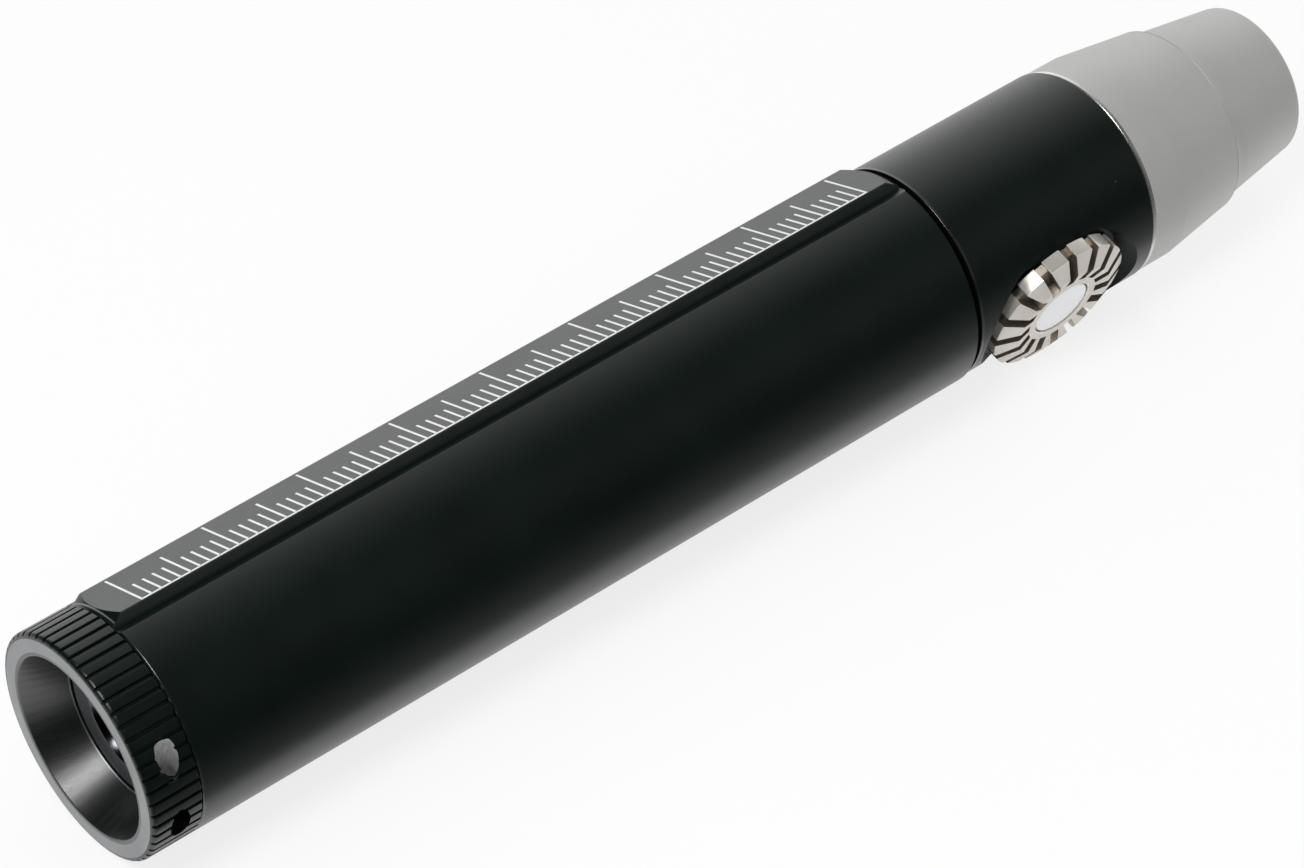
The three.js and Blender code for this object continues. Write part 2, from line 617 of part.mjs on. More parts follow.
addPiece(flashlight, 'led_dome', turnedOnX([...ledDome, [LED_DOME_BASE, 0]], SMALL_SIDES), CLEAR_RESIN);
addPiece(flashlight, 'led_base', block(
  [LED_BASE_FRONT, -ledHalf, -ledHalf], [LED_BASE_REAR, ledHalf, ledHalf],
), CERAMIC);
addPiece(flashlight, 'led_board', ledBoard(), ALUMINIUM);
for (const [name, side] of LED_SCREW_SIDES) addPiece(flashlight, `led_screw_${name}`, ledScrew(side), STEEL);
addPiece(flashlight, 'led_pill', ledPill(), BRASS);

// Driver

const DRIVER_REAR = PILL_REAR - DRIVER_SETBACK;
const DRIVER_FRONT = DRIVER_REAR - DRIVER_THICKNESS;
const DRIVER_PARTS_REAR = DRIVER_FRONT - SEAT;
const DRIVER_RADIUS = PILL_CAVITY_RADIUS - SLIP;
const DRIVER_PARTS_OFFSET = DRIVER_RADIUS - COIL_RADIUS - DRIVER_PARTS_INSET;
const CONTACT_FRONT = DRIVER_REAR + SEAT;
const CONTACT_REAR = CONTACT_FRONT + CONTACT_LENGTH;
const INSULATOR_FRONT = PILL_REAR + SEAT;

const coilProfile = rodProfile(DRIVER_PARTS_REAR - COIL_HEIGHT, DRIVER_PARTS_REAR, COIL_RADIUS);
const coil = latheGeometry(coilProfile, SMALL_SIDES)
  .applyMatrix4(LATHE_TO_X).translate(0, -DRIVER_PARTS_OFFSET, 0);
const chipHalf = CHIP_SIDE / 2;

addPiece(
  flashlight, 'driver_board', rodOnX(DRIVER_FRONT, DRIVER_REAR, DRIVER_RADIUS, INNER_SIDES), GREEN_BOARD,
);
addPiece(flashlight, 'driver_coil', solidOf(coil), FERRITE);
addPiece(flashlight, 'driver_chip', block(
  [DRIVER_PARTS_REAR - CHIP_HEIGHT, DRIVER_PARTS_OFFSET - chipHalf, -chipHalf],
  [DRIVER_PARTS_REAR, DRIVER_PARTS_OFFSET + chipHalf, chipHalf],
), BLACK_PLASTIC);
addPiece(
  flashlight, 'front_contact', rodOnX(CONTACT_FRONT, CONTACT_REAR, CONTACT_RADIUS, SMALL_SIDES), BRASS,
);
addPiece(flashlight, 'insulator_ring', ringOnX(
  INSULATOR_FRONT, INSULATOR_FRONT + INSULATOR_THICKNESS, CELL_CAP_RADIUS + SLIP, PILL_RADIUS, INNER_SIDES,
), BLACK_PLASTIC);

// Cell, which fills the tube between the front contact and the rear spring

const HEAD_SHOULDER_X = HEAD_FRONT + HEAD_SHOULDER;
const REAR_BOARD_REAR = HEAD_SHOULDER_X - SEAT;
const REAR_BOARD_FRONT = REAR_BOARD_REAR - REAR_BOARD_THICKNESS;
const SPRING_REAR = REAR_BOARD_FRONT - SEAT;
const SPRING_FRONT = SPRING_REAR - SPRING_LENGTH;
const CONTACT_RING_BORE = INSERT_RADIUS - CONTACT_RING_WIDTH;
const SPRING_RADIUS = CONTACT_RING_BORE - SPRING_MARGIN - SPRING_WIRE_RADIUS;
const CELL_RADIUS = TUBE_BORE_RADIUS - CELL_CLEARANCE;
const CELL_CAP_FRONT = CONTACT_REAR + SEAT;
const CELL_CAP_REAR = CELL_CAP_FRONT + CELL_CAP_LENGTH;
const CELL_FRONT = CELL_CAP_REAR + SEAT;
const CELL_REAR = SPRING_FRONT - SEAT;

addPiece(flashlight, 'cell_cap', rodOnX(CELL_CAP_FRONT, CELL_CAP_REAR, CELL_CAP_RADIUS, SMALL_SIDES), STEEL);
addPiece(flashlight, 'cell_washer', ringOnX(
  CELL_CAP_REAR - CELL_WASHER_THICKNESS, CELL_CAP_REAR, CELL_CAP_RADIUS + SLIP, CELL_RADIUS, INNER_SIDES,
), WHITE_PAPER);
addPiece(flashlight, 'cell_can', rodOnX(CELL_FRONT, CELL_REAR, CELL_RADIUS, BODY_SIDES), BLUE_WRAP);

// Rear contact

function springCentre(turn) {
  const rise = SPRING_LENGTH - 2 * SPRING_WIRE_RADIUS;
  const place = SPRING_FRONT + SPRING_WIRE_RADIUS + rise * turn / SPRING_TURNS;
  return onCircle(place, SPRING_RADIUS, 2 * Math.PI * turn);
}

const springTurns = Array.from({ length: SPRING_TURNS * CURL_STEPS + 1 }, (_, i) => i / CURL_STEPS);

function rearSpring() {
  return sweptSolid(springTurns.map((turn) => {
    const centre = springCentre(turn);
    const outward = onCircle(0, 1, 2 * Math.PI * turn);
    return Array.from({ length: WIRE_SIDES }, (_, j) => {
      const angle = 2 * Math.PI * j / WIRE_SIDES;
      const along = X.clone().multiplyScalar(SPRING_WIRE_RADIUS * Math.sin(angle));
      return centre.clone().addScaledVector(outward, SPRING_WIRE_RADIUS * Math.cos(angle)).add(along);
    });
  }));
}

// The least distance between neighbouring curls, measured on points of the wire's centre.
function springGap() {
  let least = Infinity;
  for (const one of springTurns) {
    for (const other of springTurns) {
      if (other - one < 0.5) continue;
      least = Math.min(least, springCentre(one).distanceTo(springCentre(other)));
    }
  }
  return least - 2 * SPRING_WIRE_RADIUS;
}

console.log(`least gap between the rear spring's curls: ${springGap().toFixed(2)} mm`);

const CONTACT_RING_REAR = REAR_BOARD_FRONT - SEAT;

addPiece(flashlight, 'rear_spring', rearSpring(), STEEL);
addPiece(
  flashlight, 'rear_contact_board', rodOnX(REAR_BOARD_FRONT, REAR_BOARD_REAR, INSERT_RADIUS, INNER_SIDES),
  GREEN_BOARD,
);
addPiece(flashlight, 'contact_ring', ringOnX(
  CONTACT_RING_REAR - CONTACT_RING_THICKNESS, CONTACT_RING_REAR,
  CONTACT_RING_BORE, INSERT_RADIUS, INNER_SIDES,
), BRASS);
addPiece(flashlight, 'head_oring', sealRing(HEAD_SEAL, SOCKET_RADIUS), BLACK_RUBBER);

// Dial housing. The dial's own levels run along its axis, out from the flashlight's axis.

const SHAFT_BORE_RADIUS = PLUNGER_RADIUS + SLIP;
const SHAFT_RADIUS = SHAFT_BORE_RADIUS + SHAFT_WALL;
const BUSHING_BORE_RADIUS = SHAFT_RADIUS + SLIP;
const BUSHING_RADIUS = BUSHING_BORE_RADIUS + BUSHING_WALL;
const BUSHING_FLANGE_RADIUS = BUSHING_RADIUS + BUSHING_FLANGE_WIDTH;
const BUSHING_HOLE_RADIUS = BUSHING_RADIUS + SLIP;
const TAIL_SPIGOT_END = TAIL_FRONT - SPIGOT_LENGTH;
const TAIL_SOCKET_FRONT = TAIL_SPIGOT_END - SEAT;

const acrossDial = (geometry) => solidOf(geometry.rotateX(DIAL_ANGLE - RAIL_ANGLE).translate(DIAL_X, 0, 0));

function dialPocket() {
  const slope = (POCKET_RIM_RADIUS - POCKET_FLOOR_RADIUS) / POCKET_DEPTH;
  const top = HEAD_RADIUS + OVERCUT;
  return acrossDial(latheGeometry([
    [POCKET_FLOOR, 0],
    [POCKET_FLOOR, POCKET_FLOOR_RADIUS],
    [top, POCKET_RIM_RADIUS + slope * OVERCUT],
    [top, 0],
  ], BODY_SIDES).applyMatrix4(LATHE_TO_Z));
}

function dialHousing() {
  const body = turnedOnX([
    [HEAD_SPIGOT_END, SPIGOT_BORE_RADIUS],
    [HEAD_SPIGOT_END, SPIGOT_RADIUS],
    [HEAD_FRONT, SPIGOT_RADIUS],
    [HEAD_FRONT, HEAD_RADIUS - HEAD_EDGE],
    [HEAD_FRONT + HEAD_EDGE, HEAD_RADIUS],
    [HEAD_REAR, HEAD_RADIUS],
    [HEAD_REAR, TAIL_SOCKET_RADIUS],
    [TAIL_SOCKET_FRONT, TAIL_SOCKET_RADIUS],
    [TAIL_SOCKET_FRONT, HEAD_BORE_RADIUS],
    [HEAD_SHOULDER_X, HEAD_BORE_RADIUS],
    [HEAD_SHOULDER_X, SPIGOT_BORE_RADIUS],
  ], BODY_SIDES);
  const holeProfile = rodProfile(0, POCKET_FLOOR + OVERCUT, BUSHING_HOLE_RADIUS);
  const bushingHole = acrossDial(latheGeometry(holeProfile, SMALL_SIDES).applyMatrix4(LATHE_TO_Z));
  return body
    .subtract(dialPocket())
    .subtract(bushingHole)
    .subtract(sealGroove(HEAD_SEAL, SOCKET_RADIUS))
    .add(threadRidge(HEAD_SPIGOT_END + THREAD_LEAD, SPIGOT_RADIUS));
}

addPiece(flashlight, 'dial_housing', dialHousing(), BLACK_ANODISED);

// Dial

function dialSlots() {
  const reach = DIAL_RADIUS + OVERCUT;
  const turn = 2 * Math.PI / DIAL_TEETH;
  const phase = THREE.MathUtils.degToRad(DIAL_PHASE);
  const slotHeight = SLOT_DEPTH + DIAL_KNEE_RISE + OVERCUT;
  const slot = new THREE.BoxGeometry(reach - SLOT_END_RADIUS, SLOT_WIDTH, slotHeight);
  slot.translate((reach + SLOT_END_RADIUS) / 2, 0, DIAL_RIM - SLOT_DEPTH + slotHeight / 2);
  const notchFloor = DIAL_RADIUS - NOTCH_DEPTH;
  const notchHeight = DIAL_SIDE + DIAL_KNEE_RISE + 2 * OVERCUT;
  const notch = new THREE.BoxGeometry(reach - notchFloor, SLOT_WIDTH, notchHeight);
  notch.translate((reach + notchFloor) / 2, 0, DIAL_BASE - OVERCUT + notchHeight / 2);
  const cuts = Array.from({ length: DIAL_TEETH }, (_, i) => {
    const angle = phase + turn * i;
    return solidOf(slot.clone().rotateZ(angle)).add(solidOf(notch.clone().rotateZ(angle)));
  });
  return cuts.reduce((all, one) => all.add(one));
}

const WELL_FLOOR = DIAL_TOP - BUTTON_WELL;
const WELL_RADIUS = BUTTON_RADIUS + SLIP / 2;
const SHAFT_FLANGE_BASE = WELL_FLOOR + SEAT;
const SHAFT_TOP = SHAFT_FLANGE_BASE + SHAFT_FLANGE_THICKNESS;
const BUTTON_TOP = DIAL_TOP - BUTTON_SETBACK;
const BUTTON_BASE = BUTTON_TOP - BUTTON_THICKNESS;
const PLUNGER_TOP = BUTTON_BASE - SEAT;

function dialKnob() {
  return turnedOnZ([
    [DIAL_BASE, BUSHING_BORE_RADIUS],
    [DIAL_BASE, DIAL_RADIUS],
    [DIAL_RIM, DIAL_RADIUS],
    [DIAL_KNEE, DIAL_KNEE_RADIUS],
    [DIAL_TOP, DIAL_HUB_RADIUS],
    [DIAL_TOP, WELL_RADIUS],
    [WELL_FLOOR, WELL_RADIUS],
    [WELL_FLOOR, BUSHING_BORE_RADIUS],
  ], BODY_SIDES).subtract(dialSlots());
}

// The dimmer bridges the push switch on two legs, and the dial's shaft turns in it.
// The dimmer fills the height that the board and the push switch leave under the bushing.
const BUSHING_TOP = POCKET_FLOOR - SEAT;
const BUSHING_FLANGE_TOP = Math.sqrt(HEAD_BORE_RADIUS ** 2 - BUSHING_FLANGE_RADIUS ** 2) - SEAT;
const BUSHING_BASE = BUSHING_FLANGE_TOP - BUSHING_FLANGE_THICKNESS;
const CLIP_TOP = BUSHING_BASE - SEAT;
const CLIP_BASE = CLIP_TOP - CLIP_THICKNESS;
const DIMMER_TOP = CLIP_BASE - SEAT;
const BOARD_TOP = BOARD_LEVEL + BOARD_THICKNESS;
const BOARD_PARTS = BOARD_TOP + SEAT;
const SWITCH_TOP = BOARD_PARTS + SWITCH_HEIGHT;
const PLUNGER_TIP = SWITCH_TOP + SEAT + BUTTON_TRAVEL;
const DIMMER_BASE = PLUNGER_TIP + SEAT;

function dialShaft() {
  return turnedOnZ([
    [DIMMER_BASE, SHAFT_BORE_RADIUS],
    [DIMMER_BASE, SHAFT_RADIUS],
    [SHAFT_FLANGE_BASE, SHAFT_RADIUS],
    [SHAFT_FLANGE_BASE, SHAFT_FLANGE_RADIUS],
    [SHAFT_TOP, SHAFT_FLANGE_RADIUS],
    [SHAFT_TOP, SHAFT_BORE_RADIUS],
  ], INNER_SIDES);
}

function dialBushing() {
  return turnedOnZ([
    [BUSHING_BASE, BUSHING_BORE_RADIUS],
    [BUSHING_BASE, BUSHING_FLANGE_RADIUS],
    [BUSHING_FLANGE_TOP, BUSHING_FLANGE_RADIUS],
    [BUSHING_FLANGE_TOP, BUSHING_RADIUS],
    [BUSHING_TOP, BUSHING_RADIUS],
    [BUSHING_TOP, BUSHING_BORE_RADIUS],
  ], INNER_SIDES);
}

function buttonPlunger() {
  const headBase = PLUNGER_TOP - PLUNGER_HEAD_THICKNESS;
  return turnedOnZ([
    [PLUNGER_TIP, 0],
    [PLUNGER_TIP, PLUNGER_RADIUS],
    [headBase, PLUNGER_RADIUS],
    [headBase, PLUNGER_HEAD_RADIUS],
    [PLUNGER_TOP, PLUNGER_HEAD_RADIUS],
    [PLUNGER_TOP, 0],
  ], SMALL_SIDES);
}

function dialButton() {
  const crownEdge = BUTTON_TOP - BUTTON_CROWN;
  return turnedOnZ([
    [BUTTON_BASE, 0],
    [BUTTON_BASE, BUTTON_RADIUS],
    [crownEdge, BUTTON_RADIUS],
    [BUTTON_TOP, BUTTON_RADIUS - BUTTON_CROWN],
    [BUTTON_TOP, 0],
  ], INNER_SIDES);
}

function dimmerBody() {
  const half = DIMMER_LENGTH / 2;
  const side = DIMMER_WIDTH / 2;
  const bridge = block([-half, -side, DIMMER_BASE], [half, side, DIMMER_TOP]);
  const legs = [-half, half - DIMMER_LEG].map(
    (start) => block([start, -side, BOARD_PARTS], [start + DIMMER_LEG, side, DIMMER_BASE + EMBED]),
  );
  const bore = rodOnZ(DIMMER_BASE - OVERCUT, DIMMER_TOP + OVERCUT, BUSHING_BORE_RADIUS, SMALL_SIDES);
  return legs.reduce((body, leg) => body.add(leg), bridge).subtract(bore);
}

addPiece(dialStack, 'dial_knob', dialKnob(), NICKEL);
addPiece(dialStack, 'dial_shaft', dialShaft(), STEEL);
addPiece(dialStack, 'shaft_clip', ringOnZ(
  CLIP_BASE, CLIP_TOP, BUSHING_BORE_RADIUS, BUSHING_BORE_RADIUS + CLIP_WIDTH, SMALL_SIDES,
), STEEL);
addPiece(dialStack, 'dial_bushing', dialBushing(), BRASS);
addPiece(dialStack, 'button_plunger', buttonPlunger(), STEEL);
addPiece(dialStack, 'dial_button', dialButton(), WHITE_PLASTIC);
addPiece(dialStack, 'dimmer_body', dimmerBody(), BLACK_PLASTIC);

// Control board on its carrier

const CARRIER_FRONT = HEAD_SHOULDER_X + CARRIER_MARGIN - DIAL_X;
const CARRIER_REAR = TAIL_SOCKET_FRONT - CARRIER_MARGIN - DIAL_X;
const CARRIER_TOP = BOARD_LEVEL - SEAT;
const CARRIER_RADIUS = HEAD_BORE_RADIUS - SLIP;
const BOARD_HALF = Math.sqrt(CARRIER_RADIUS ** 2 - BOARD_TOP ** 2) - SLIP;
const BOARD_SCREW_SIDE = BOARD_HALF - BOARD_SCREW_INSET;
const BOARD_SCREWS = [
  ['front', CARRIER_FRONT + BOARD_SCREW_INSET, BOARD_SCREW_SIDE],
  ['rear', CARRIER_REAR - BOARD_SCREW_INSET, -BOARD_SCREW_SIDE],
];
const BOARD_SCREW_TIP = BOARD_LEVEL - SCREW_GRIP;
const CAPACITOR_LEVEL = BOARD_LEVEL - CAPACITOR_DROP;
const CHIP_X = (CARRIER_FRONT - DIMMER_LENGTH / 2) / 2;

const boardScrewHole = (from, to, place, side) => solidOf(
  latheGeometry(rodProfile(from, to, SCREW_RADIUS + SLIP), SMALL_SIDES)
    .applyMatrix4(LATHE_TO_Z).translate(place, side, 0),
);

function boardCarrier() {
  const round = rodOnX(CARRIER_FRONT, CARRIER_REAR, CARRIER_RADIUS, INNER_SIDES);
  const lower = block(
    [CARRIER_FRONT - OVERCUT, -CARRIER_RADIUS - OVERCUT, -CARRIER_RADIUS - OVERCUT],
    [CARRIER_REAR + OVERCUT, CARRIER_RADIUS + OVERCUT, CARRIER_TOP],
  );
  const troughHalf = CAPACITOR_LENGTH / 2 + SLIP;
  const troughSide = CAPACITOR_RADIUS + SLIP;
  const trough = block(
    [-troughHalf, -troughSide, CAPACITOR_LEVEL - CAPACITOR_RADIUS - SEAT],
    [troughHalf, troughSide, CARRIER_TOP + OVERCUT],
  );
  return BOARD_SCREWS.reduce(
    (body, [, ...at]) => body.subtract(boardScrewHole(BOARD_SCREW_TIP - SEAT, CARRIER_TOP + OVERCUT, ...at)),
    round.intersect(lower).subtract(trough),
  );
}

function controlBoard() {
  const board = block([CARRIER_FRONT, -BOARD_HALF, BOARD_LEVEL], [CARRIER_REAR, BOARD_HALF, BOARD_TOP]);
  const [from, to] = [BOARD_LEVEL - OVERCUT, BOARD_TOP + OVERCUT];
  return BOARD_SCREWS.reduce((body, [, ...at]) => body.subtract(boardScrewHole(from, to, ...at)), board);
}

function boardScrew(place, side) {
  const headTop = BOARD_PARTS + SCREW_HEAD_HEIGHT;
  const screw = latheGeometry([
    [BOARD_SCREW_TIP, 0],
    [BOARD_SCREW_TIP, SCREW_RADIUS],
    [BOARD_PARTS, SCREW_RADIUS],
    [BOARD_PARTS, SCREW_HEAD_RADIUS],
    [headTop, SCREW_HEAD_RADIUS],
    [headTop, 0],
  ], SMALL_SIDES);
  return solidOf(screw.applyMatrix4(LATHE_TO_Z).translate(place, side, 0));
}

const capacitorProfile = rodProfile(-CAPACITOR_LENGTH / 2, CAPACITOR_LENGTH / 2, CAPACITOR_RADIUS);
const capacitor = latheGeometry(capacitorProfile, SMALL_SIDES)
  .applyMatrix4(LATHE_TO_X).translate(0, 0, CAPACITOR_LEVEL);
const switchHalf = SWITCH_SIDE / 2;

addPiece(dialStack, 'board_carrier', boardCarrier(), BLACK_PLASTIC);
addPiece(dialStack, 'control_board', controlBoard(), GREEN_BOARD);
for (const [name, ...at] of BOARD_SCREWS) {
  addPiece(dialStack, `board_screw_${name}`, boardScrew(...at), STEEL);
}
addPiece(dialStack, 'control_chip', block(
  [CHIP_X - chipHalf, -chipHalf, BOARD_PARTS], [CHIP_X + chipHalf, chipHalf, BOARD_PARTS + CHIP_HEIGHT],
), BLACK_PLASTIC);
addPiece(dialStack, 'smoothing_capacitor', solidOf(capacitor), ALUMINIUM);
addPiece(dialStack, 'push_switch', block(
  [-switchHalf, -switchHalf, BOARD_PARTS], [switchHalf, switchHalf, SWITCH_TOP],
), BLACK_PLASTIC);

// Tail cone

function tailCone() {
  const spigotRadius = TAIL_SOCKET_RADIUS - SLIP - THREAD_HEIGHT;
  const bore = spigotBore(TAIL_SOCKET_RADIUS);
  const edge = arc(TAIL_REAR - TAIL_EDGE, TAIL_END_RADIUS - TAIL_EDGE, TAIL_EDGE, Math.PI / 2, 0);
  const neck = arc(TAIL_END_START, TAIL_TAPER_RADIUS, 1, -Math.PI, -Math.PI / 2).map(([place, radius]) => [
    TAIL_END_START + (place - TAIL_END_START) * TAIL_NECK_LENGTH,
    TAIL_TAPER_RADIUS + (radius - TAIL_TAPER_RADIUS) * (TAIL_TAPER_RADIUS - TAIL_NECK_RADIUS),
  ]);
  return turnedOnX([
    [TAIL_SPIGOT_END, bore],
    [TAIL_SPIGOT_END, spigotRadius],
    [TAIL_FRONT, spigotRadius],
    [TAIL_FRONT, TAIL_COLLAR_RADIUS],
    [TAIL_TAPER_START, TAIL_COLLAR_RADIUS],
    ...neck,
    ...edge,
    [TAIL_REAR, 0],
    [TAIL_REAR - TAIL_FLOOR, 0],
    [TAIL_REAR - TAIL_FLOOR, bore],
  ], BODY_SIDES)
    .subtract(sealGroove(TAIL_SEAL, TAIL_SOCKET_RADIUS))
    .add(threadRidge(TAIL_SPIGOT_END + THREAD_LEAD, spigotRadius));
}

addPiece(flashlight, 'tail_oring', sealRing(TAIL_SEAL, TAIL_SOCKET_RADIUS), BLACK_RUBBER);
addPiece(flashlight, 'tail_cone', tailCone(), GREY_METAL);

// The origin is under the middle of the flashlight as it lies.
flashlight.rotation.x = REST_ROLL;
flashlight.updateMatrixWorld(true);
const outerBox = new THREE.Box3().setFromObject(flashlight, true);
flashlight.position.set(
  -(outerBox.min.x + outerBox.max.x) / 2,
  -(outerBox.min.y + outerBox.max.y) / 2,
  -outerBox.min.z,
);

export default flashlight;
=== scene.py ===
"""Looks of the flashlight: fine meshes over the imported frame, finishes, studio and camera."""

import json
import math

import bmesh
import bpy
from mathutils import Matrix, Vector


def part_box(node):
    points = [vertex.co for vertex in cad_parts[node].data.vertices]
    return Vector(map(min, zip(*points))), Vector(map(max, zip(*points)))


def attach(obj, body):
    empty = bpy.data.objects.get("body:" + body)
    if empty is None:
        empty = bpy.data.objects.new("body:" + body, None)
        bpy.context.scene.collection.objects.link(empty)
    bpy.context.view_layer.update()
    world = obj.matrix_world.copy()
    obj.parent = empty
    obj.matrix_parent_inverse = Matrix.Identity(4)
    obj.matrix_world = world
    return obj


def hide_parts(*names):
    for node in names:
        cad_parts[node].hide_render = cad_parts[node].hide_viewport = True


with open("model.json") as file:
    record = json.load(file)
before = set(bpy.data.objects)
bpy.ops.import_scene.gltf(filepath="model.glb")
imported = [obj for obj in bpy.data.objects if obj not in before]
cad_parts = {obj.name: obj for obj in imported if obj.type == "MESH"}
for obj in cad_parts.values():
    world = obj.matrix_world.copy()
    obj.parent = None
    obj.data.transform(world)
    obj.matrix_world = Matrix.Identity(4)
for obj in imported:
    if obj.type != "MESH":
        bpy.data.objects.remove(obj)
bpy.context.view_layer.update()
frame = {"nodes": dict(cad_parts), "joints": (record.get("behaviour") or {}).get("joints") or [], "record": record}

# The pieces are drawn in millimetres along X, from the front lip, with the ruler rail at 90 degrees
# round the axis from +Y towards +Z. PLACE then moves them into the frame.
MM = 0.001
JOINTS = {joint["name"]: joint for joint in frame["joints"]}
AXIS = sum(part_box("cell_can"), Vector()) / 2
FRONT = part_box("bezel_ring")[0].x


def stations(node):
    """A node's two ends along X, in millimetres from the front lip."""
    low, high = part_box(node)
    return (low.x - FRONT) / MM, (high.x - FRONT) / MM


def middle(node):
    return sum(stations(node)) / 2


# Sizes in millimetres that the frame gives
TUBE_RADIUS = AXIS.z / MM
TUBE_FRONT, TUBE_REAR = stations("battery_tube")
BEZEL_REAR = stations("bezel_ring")[1]
HEAD_SPIGOT_END, HEAD_REAR = stations("dial_housing")
TAIL_SPIGOT_END, TAIL_REAR = stations("tail_cone")
RETAINER_FRONT, RETAINER_REAR = stations("lens_retainer")
LENS_TIP, LENS_REAR = stations("filter_lens")
BEZEL_SEAL = middle("bezel_oring")
HEAD_SEAL = middle("head_oring")
TAIL_SEAL = middle("tail_oring")
DIAL_X = (JOINTS["dial_turn"]["pos_m"][0] - FRONT) / MM

# Sizes in millimetres, angles in degrees and counts that the frame doesn't give, shared with the CAD model
SEAT = 0.25
SLIP = 0.25
SEAL_SLIP = 0.15
RING_GAP = 0.1
HEAD_GAP = 0.25
TAIL_GAP = 0.1
LIP_CHAMFER = 0.5
LIP_WIDTH = 1.65
FUNNEL_DEPTH = 4.1
FUNNEL_SEAT = 0.4
FUNNEL_SEAT_WIDTH = 0.8
KNURL_COUNT = 54
KNURL_WIDTH = 0.4
KNURL_DEPTH = 0.3
KNURL_PHASE = 3.35
TUNNEL_RADIUS = 1.0
TUNNEL_STATION = 2.8
TUNNEL_FROM_RAIL = 104.6
TUNNEL_SPREAD = 20.7
TUNNEL_DIP = 14
TUBE_WALL = 1.4
TUBE_EDGE = 0.35
RAIL_WIDTH = 6.9
RAIL_RISE = 0.05
RAIL_WALL = 1.1
SOCKET_WALL = 1.0
THREAD_PITCH = 0.8
THREAD_HEIGHT = 0.3
THREAD_TURNS = 2.5
THREAD_LEAD = 0.4
SEAL_RADIUS = 0.5
SPIGOT_WALL = 0.75
SPIGOT_LENGTH = 4.6
RETAINER_THICKNESS = 0.8
APERTURE_RADIUS = 4.2
APERTURE_BEVEL_WIDTH = 0.3
APERTURE_BEVEL_DEPTH = 0.55
GASKET_WIDTH = 2.1
LENS_THICKNESS = 1.1
LENS_DOME_RADIUS = 3.9
HEAD_STEP = 0.2
HEAD_EDGE = 0.25
HEAD_WALL = 3.9
HEAD_SHOULDER = 0.75
DIAL_FROM_RAIL = 128.3
POCKET_DEPTH = 2.2
POCKET_FLOOR_RADIUS = 8.05
POCKET_RIM_RADIUS = 9.45
BUSHING_HOLE_RADIUS = 2.45
DIAL_RADIUS = 7.6
DIAL_SIDE = 1.58
DIAL_KNEE_RADIUS = 5.4
DIAL_KNEE_RISE = 0.8
DIAL_DISH = 0.3
DIAL_HUB_RADIUS = 3.8
DIAL_BORE_RADIUS = 1.75
DIAL_TEETH = 16
DIAL_PHASE = 4.1
SLOT_WIDTH = 0.95
SLOT_DEPTH = 0.7
SLOT_END_RADIUS = 3.95
NOTCH_DEPTH = 0.55
BUTTON_RADIUS = 3.0
BUTTON_THICKNESS = 0.38
BUTTON_SETBACK = 0.05
BUTTON_WELL = 1.83
TAIL_STEP = 0.1
TAIL_COLLAR_LENGTH = 4.2
TAIL_TAPER_LENGTH = 7.9
TAIL_TAPER_DROP = 1.1
TAIL_NECK_LENGTH = 1.9
TAIL_NECK_DROP = 0.7
TAIL_END_DROP = 1.2
TAIL_EDGE = 0.8
TAIL_SOCKET_WALL = 1.2
TAIL_FLOOR = 5.0

# Sizes in millimetres of detail that only the looks have
EDGE = 0.06
LIP_ROUND = 0.2
LIP_ROUND_WIDTH = 0.35
THROAT_ROUND = 0.08
THROAT_EDGE = 0.12
RING_REAR_ROUND = 0.1
SPIGOT_ROUND = 0.15
APERTURE_ROUND = 0.06
APERTURE_BEVEL_ROUND = 0.05
RETAINER_ROUND = 0.08
LEDGE_EDGE_ROUND = 0.2
LEDGE_CORNER_ROUND = 0.12
RAIL_ROUND = 0.15
RAIL_SETBACK = 0.4
RAIL_END_SLOPE = 1.5
RAIL_END_CLEARANCE = 0.02
RULER_START = 8.59
RULER_LENGTH = 80
RULER_BASE = -3.22
RULER_LINE = 0.22
RULER_HEIGHT = 0.02
TEN_TICK = 6.15
FIVE_TICK = 5.03
ONE_TICK = 3.18
HEAD_FRONT_ROUND = 0.05
HEAD_EDGE_ROUND = 0.1
HEAD_REAR_ROUND = 0.06
POCKET_ROUND = 0.3
DIAL_BASE_ROUND = 0.1
DIAL_RIM_ROUND = 0.12
DIAL_KNEE_ROUND = 0.2
DIAL_HUB_ROUND = 0.3
WELL_ROUND = 0.08
BUTTON_BASE_ROUND = 0.05
BUTTON_RIM_ROUND = 0.12
BUTTON_RIM_DROP = 0.04
BUTTON_FLAT_RADIUS = 1.8
BUTTON_FLAT_ROUND = 0.5
TAIL_FRONT_ROUND = 0.2
TAIL_COLLAR_ROUND = 0.4
NECK_LINE = 0.14
NECK_LINE_DEPTH = 0.07
THREAD_ROOT_WIDTH = 0.56
THREAD_CREST_WIDTH = 0.192
THREAD_SINK = 0.15
OVERCUT = 1.0
FACE_SLACK = 0.06
WELD_DISTANCE = 1e-5

# The section of a knurl groove: places across it in groove widths, each with a share of the depth. The
# flat lands between two grooves get two more spokes each, at these shares of the pitch.
GROOVE_SECTION = [
    (-0.56, 0.0), (-0.48, 0.08), (-0.4, 0.5), (-0.32, 0.95), (0.0, 1.0),
    (0.32, 0.95), (0.4, 0.5), (0.48, 0.08), (0.56, 0.0),
]
LAND_SPOKES = (0.4, 0.6)

# How fine the meshes are, and the turn in degrees from which an edge counts as sharp
SIDES = 192
ARC_STEPS = 6
DOME_STEPS = 24
NECK_STEPS = 12
TURN_STEPS = 96
BEVEL_STEPS = 2
SHARP_TURN = 32
FLAT_NORMAL = 0.99

# Patterns of the finishes: the part of a noise's range that is used, and the detail of each noise
NOISE_LOW = 0.3
NOISE_HIGH = 0.7
CLOUD_DETAIL = 5.0
GRAIN_DETAIL = 3.0

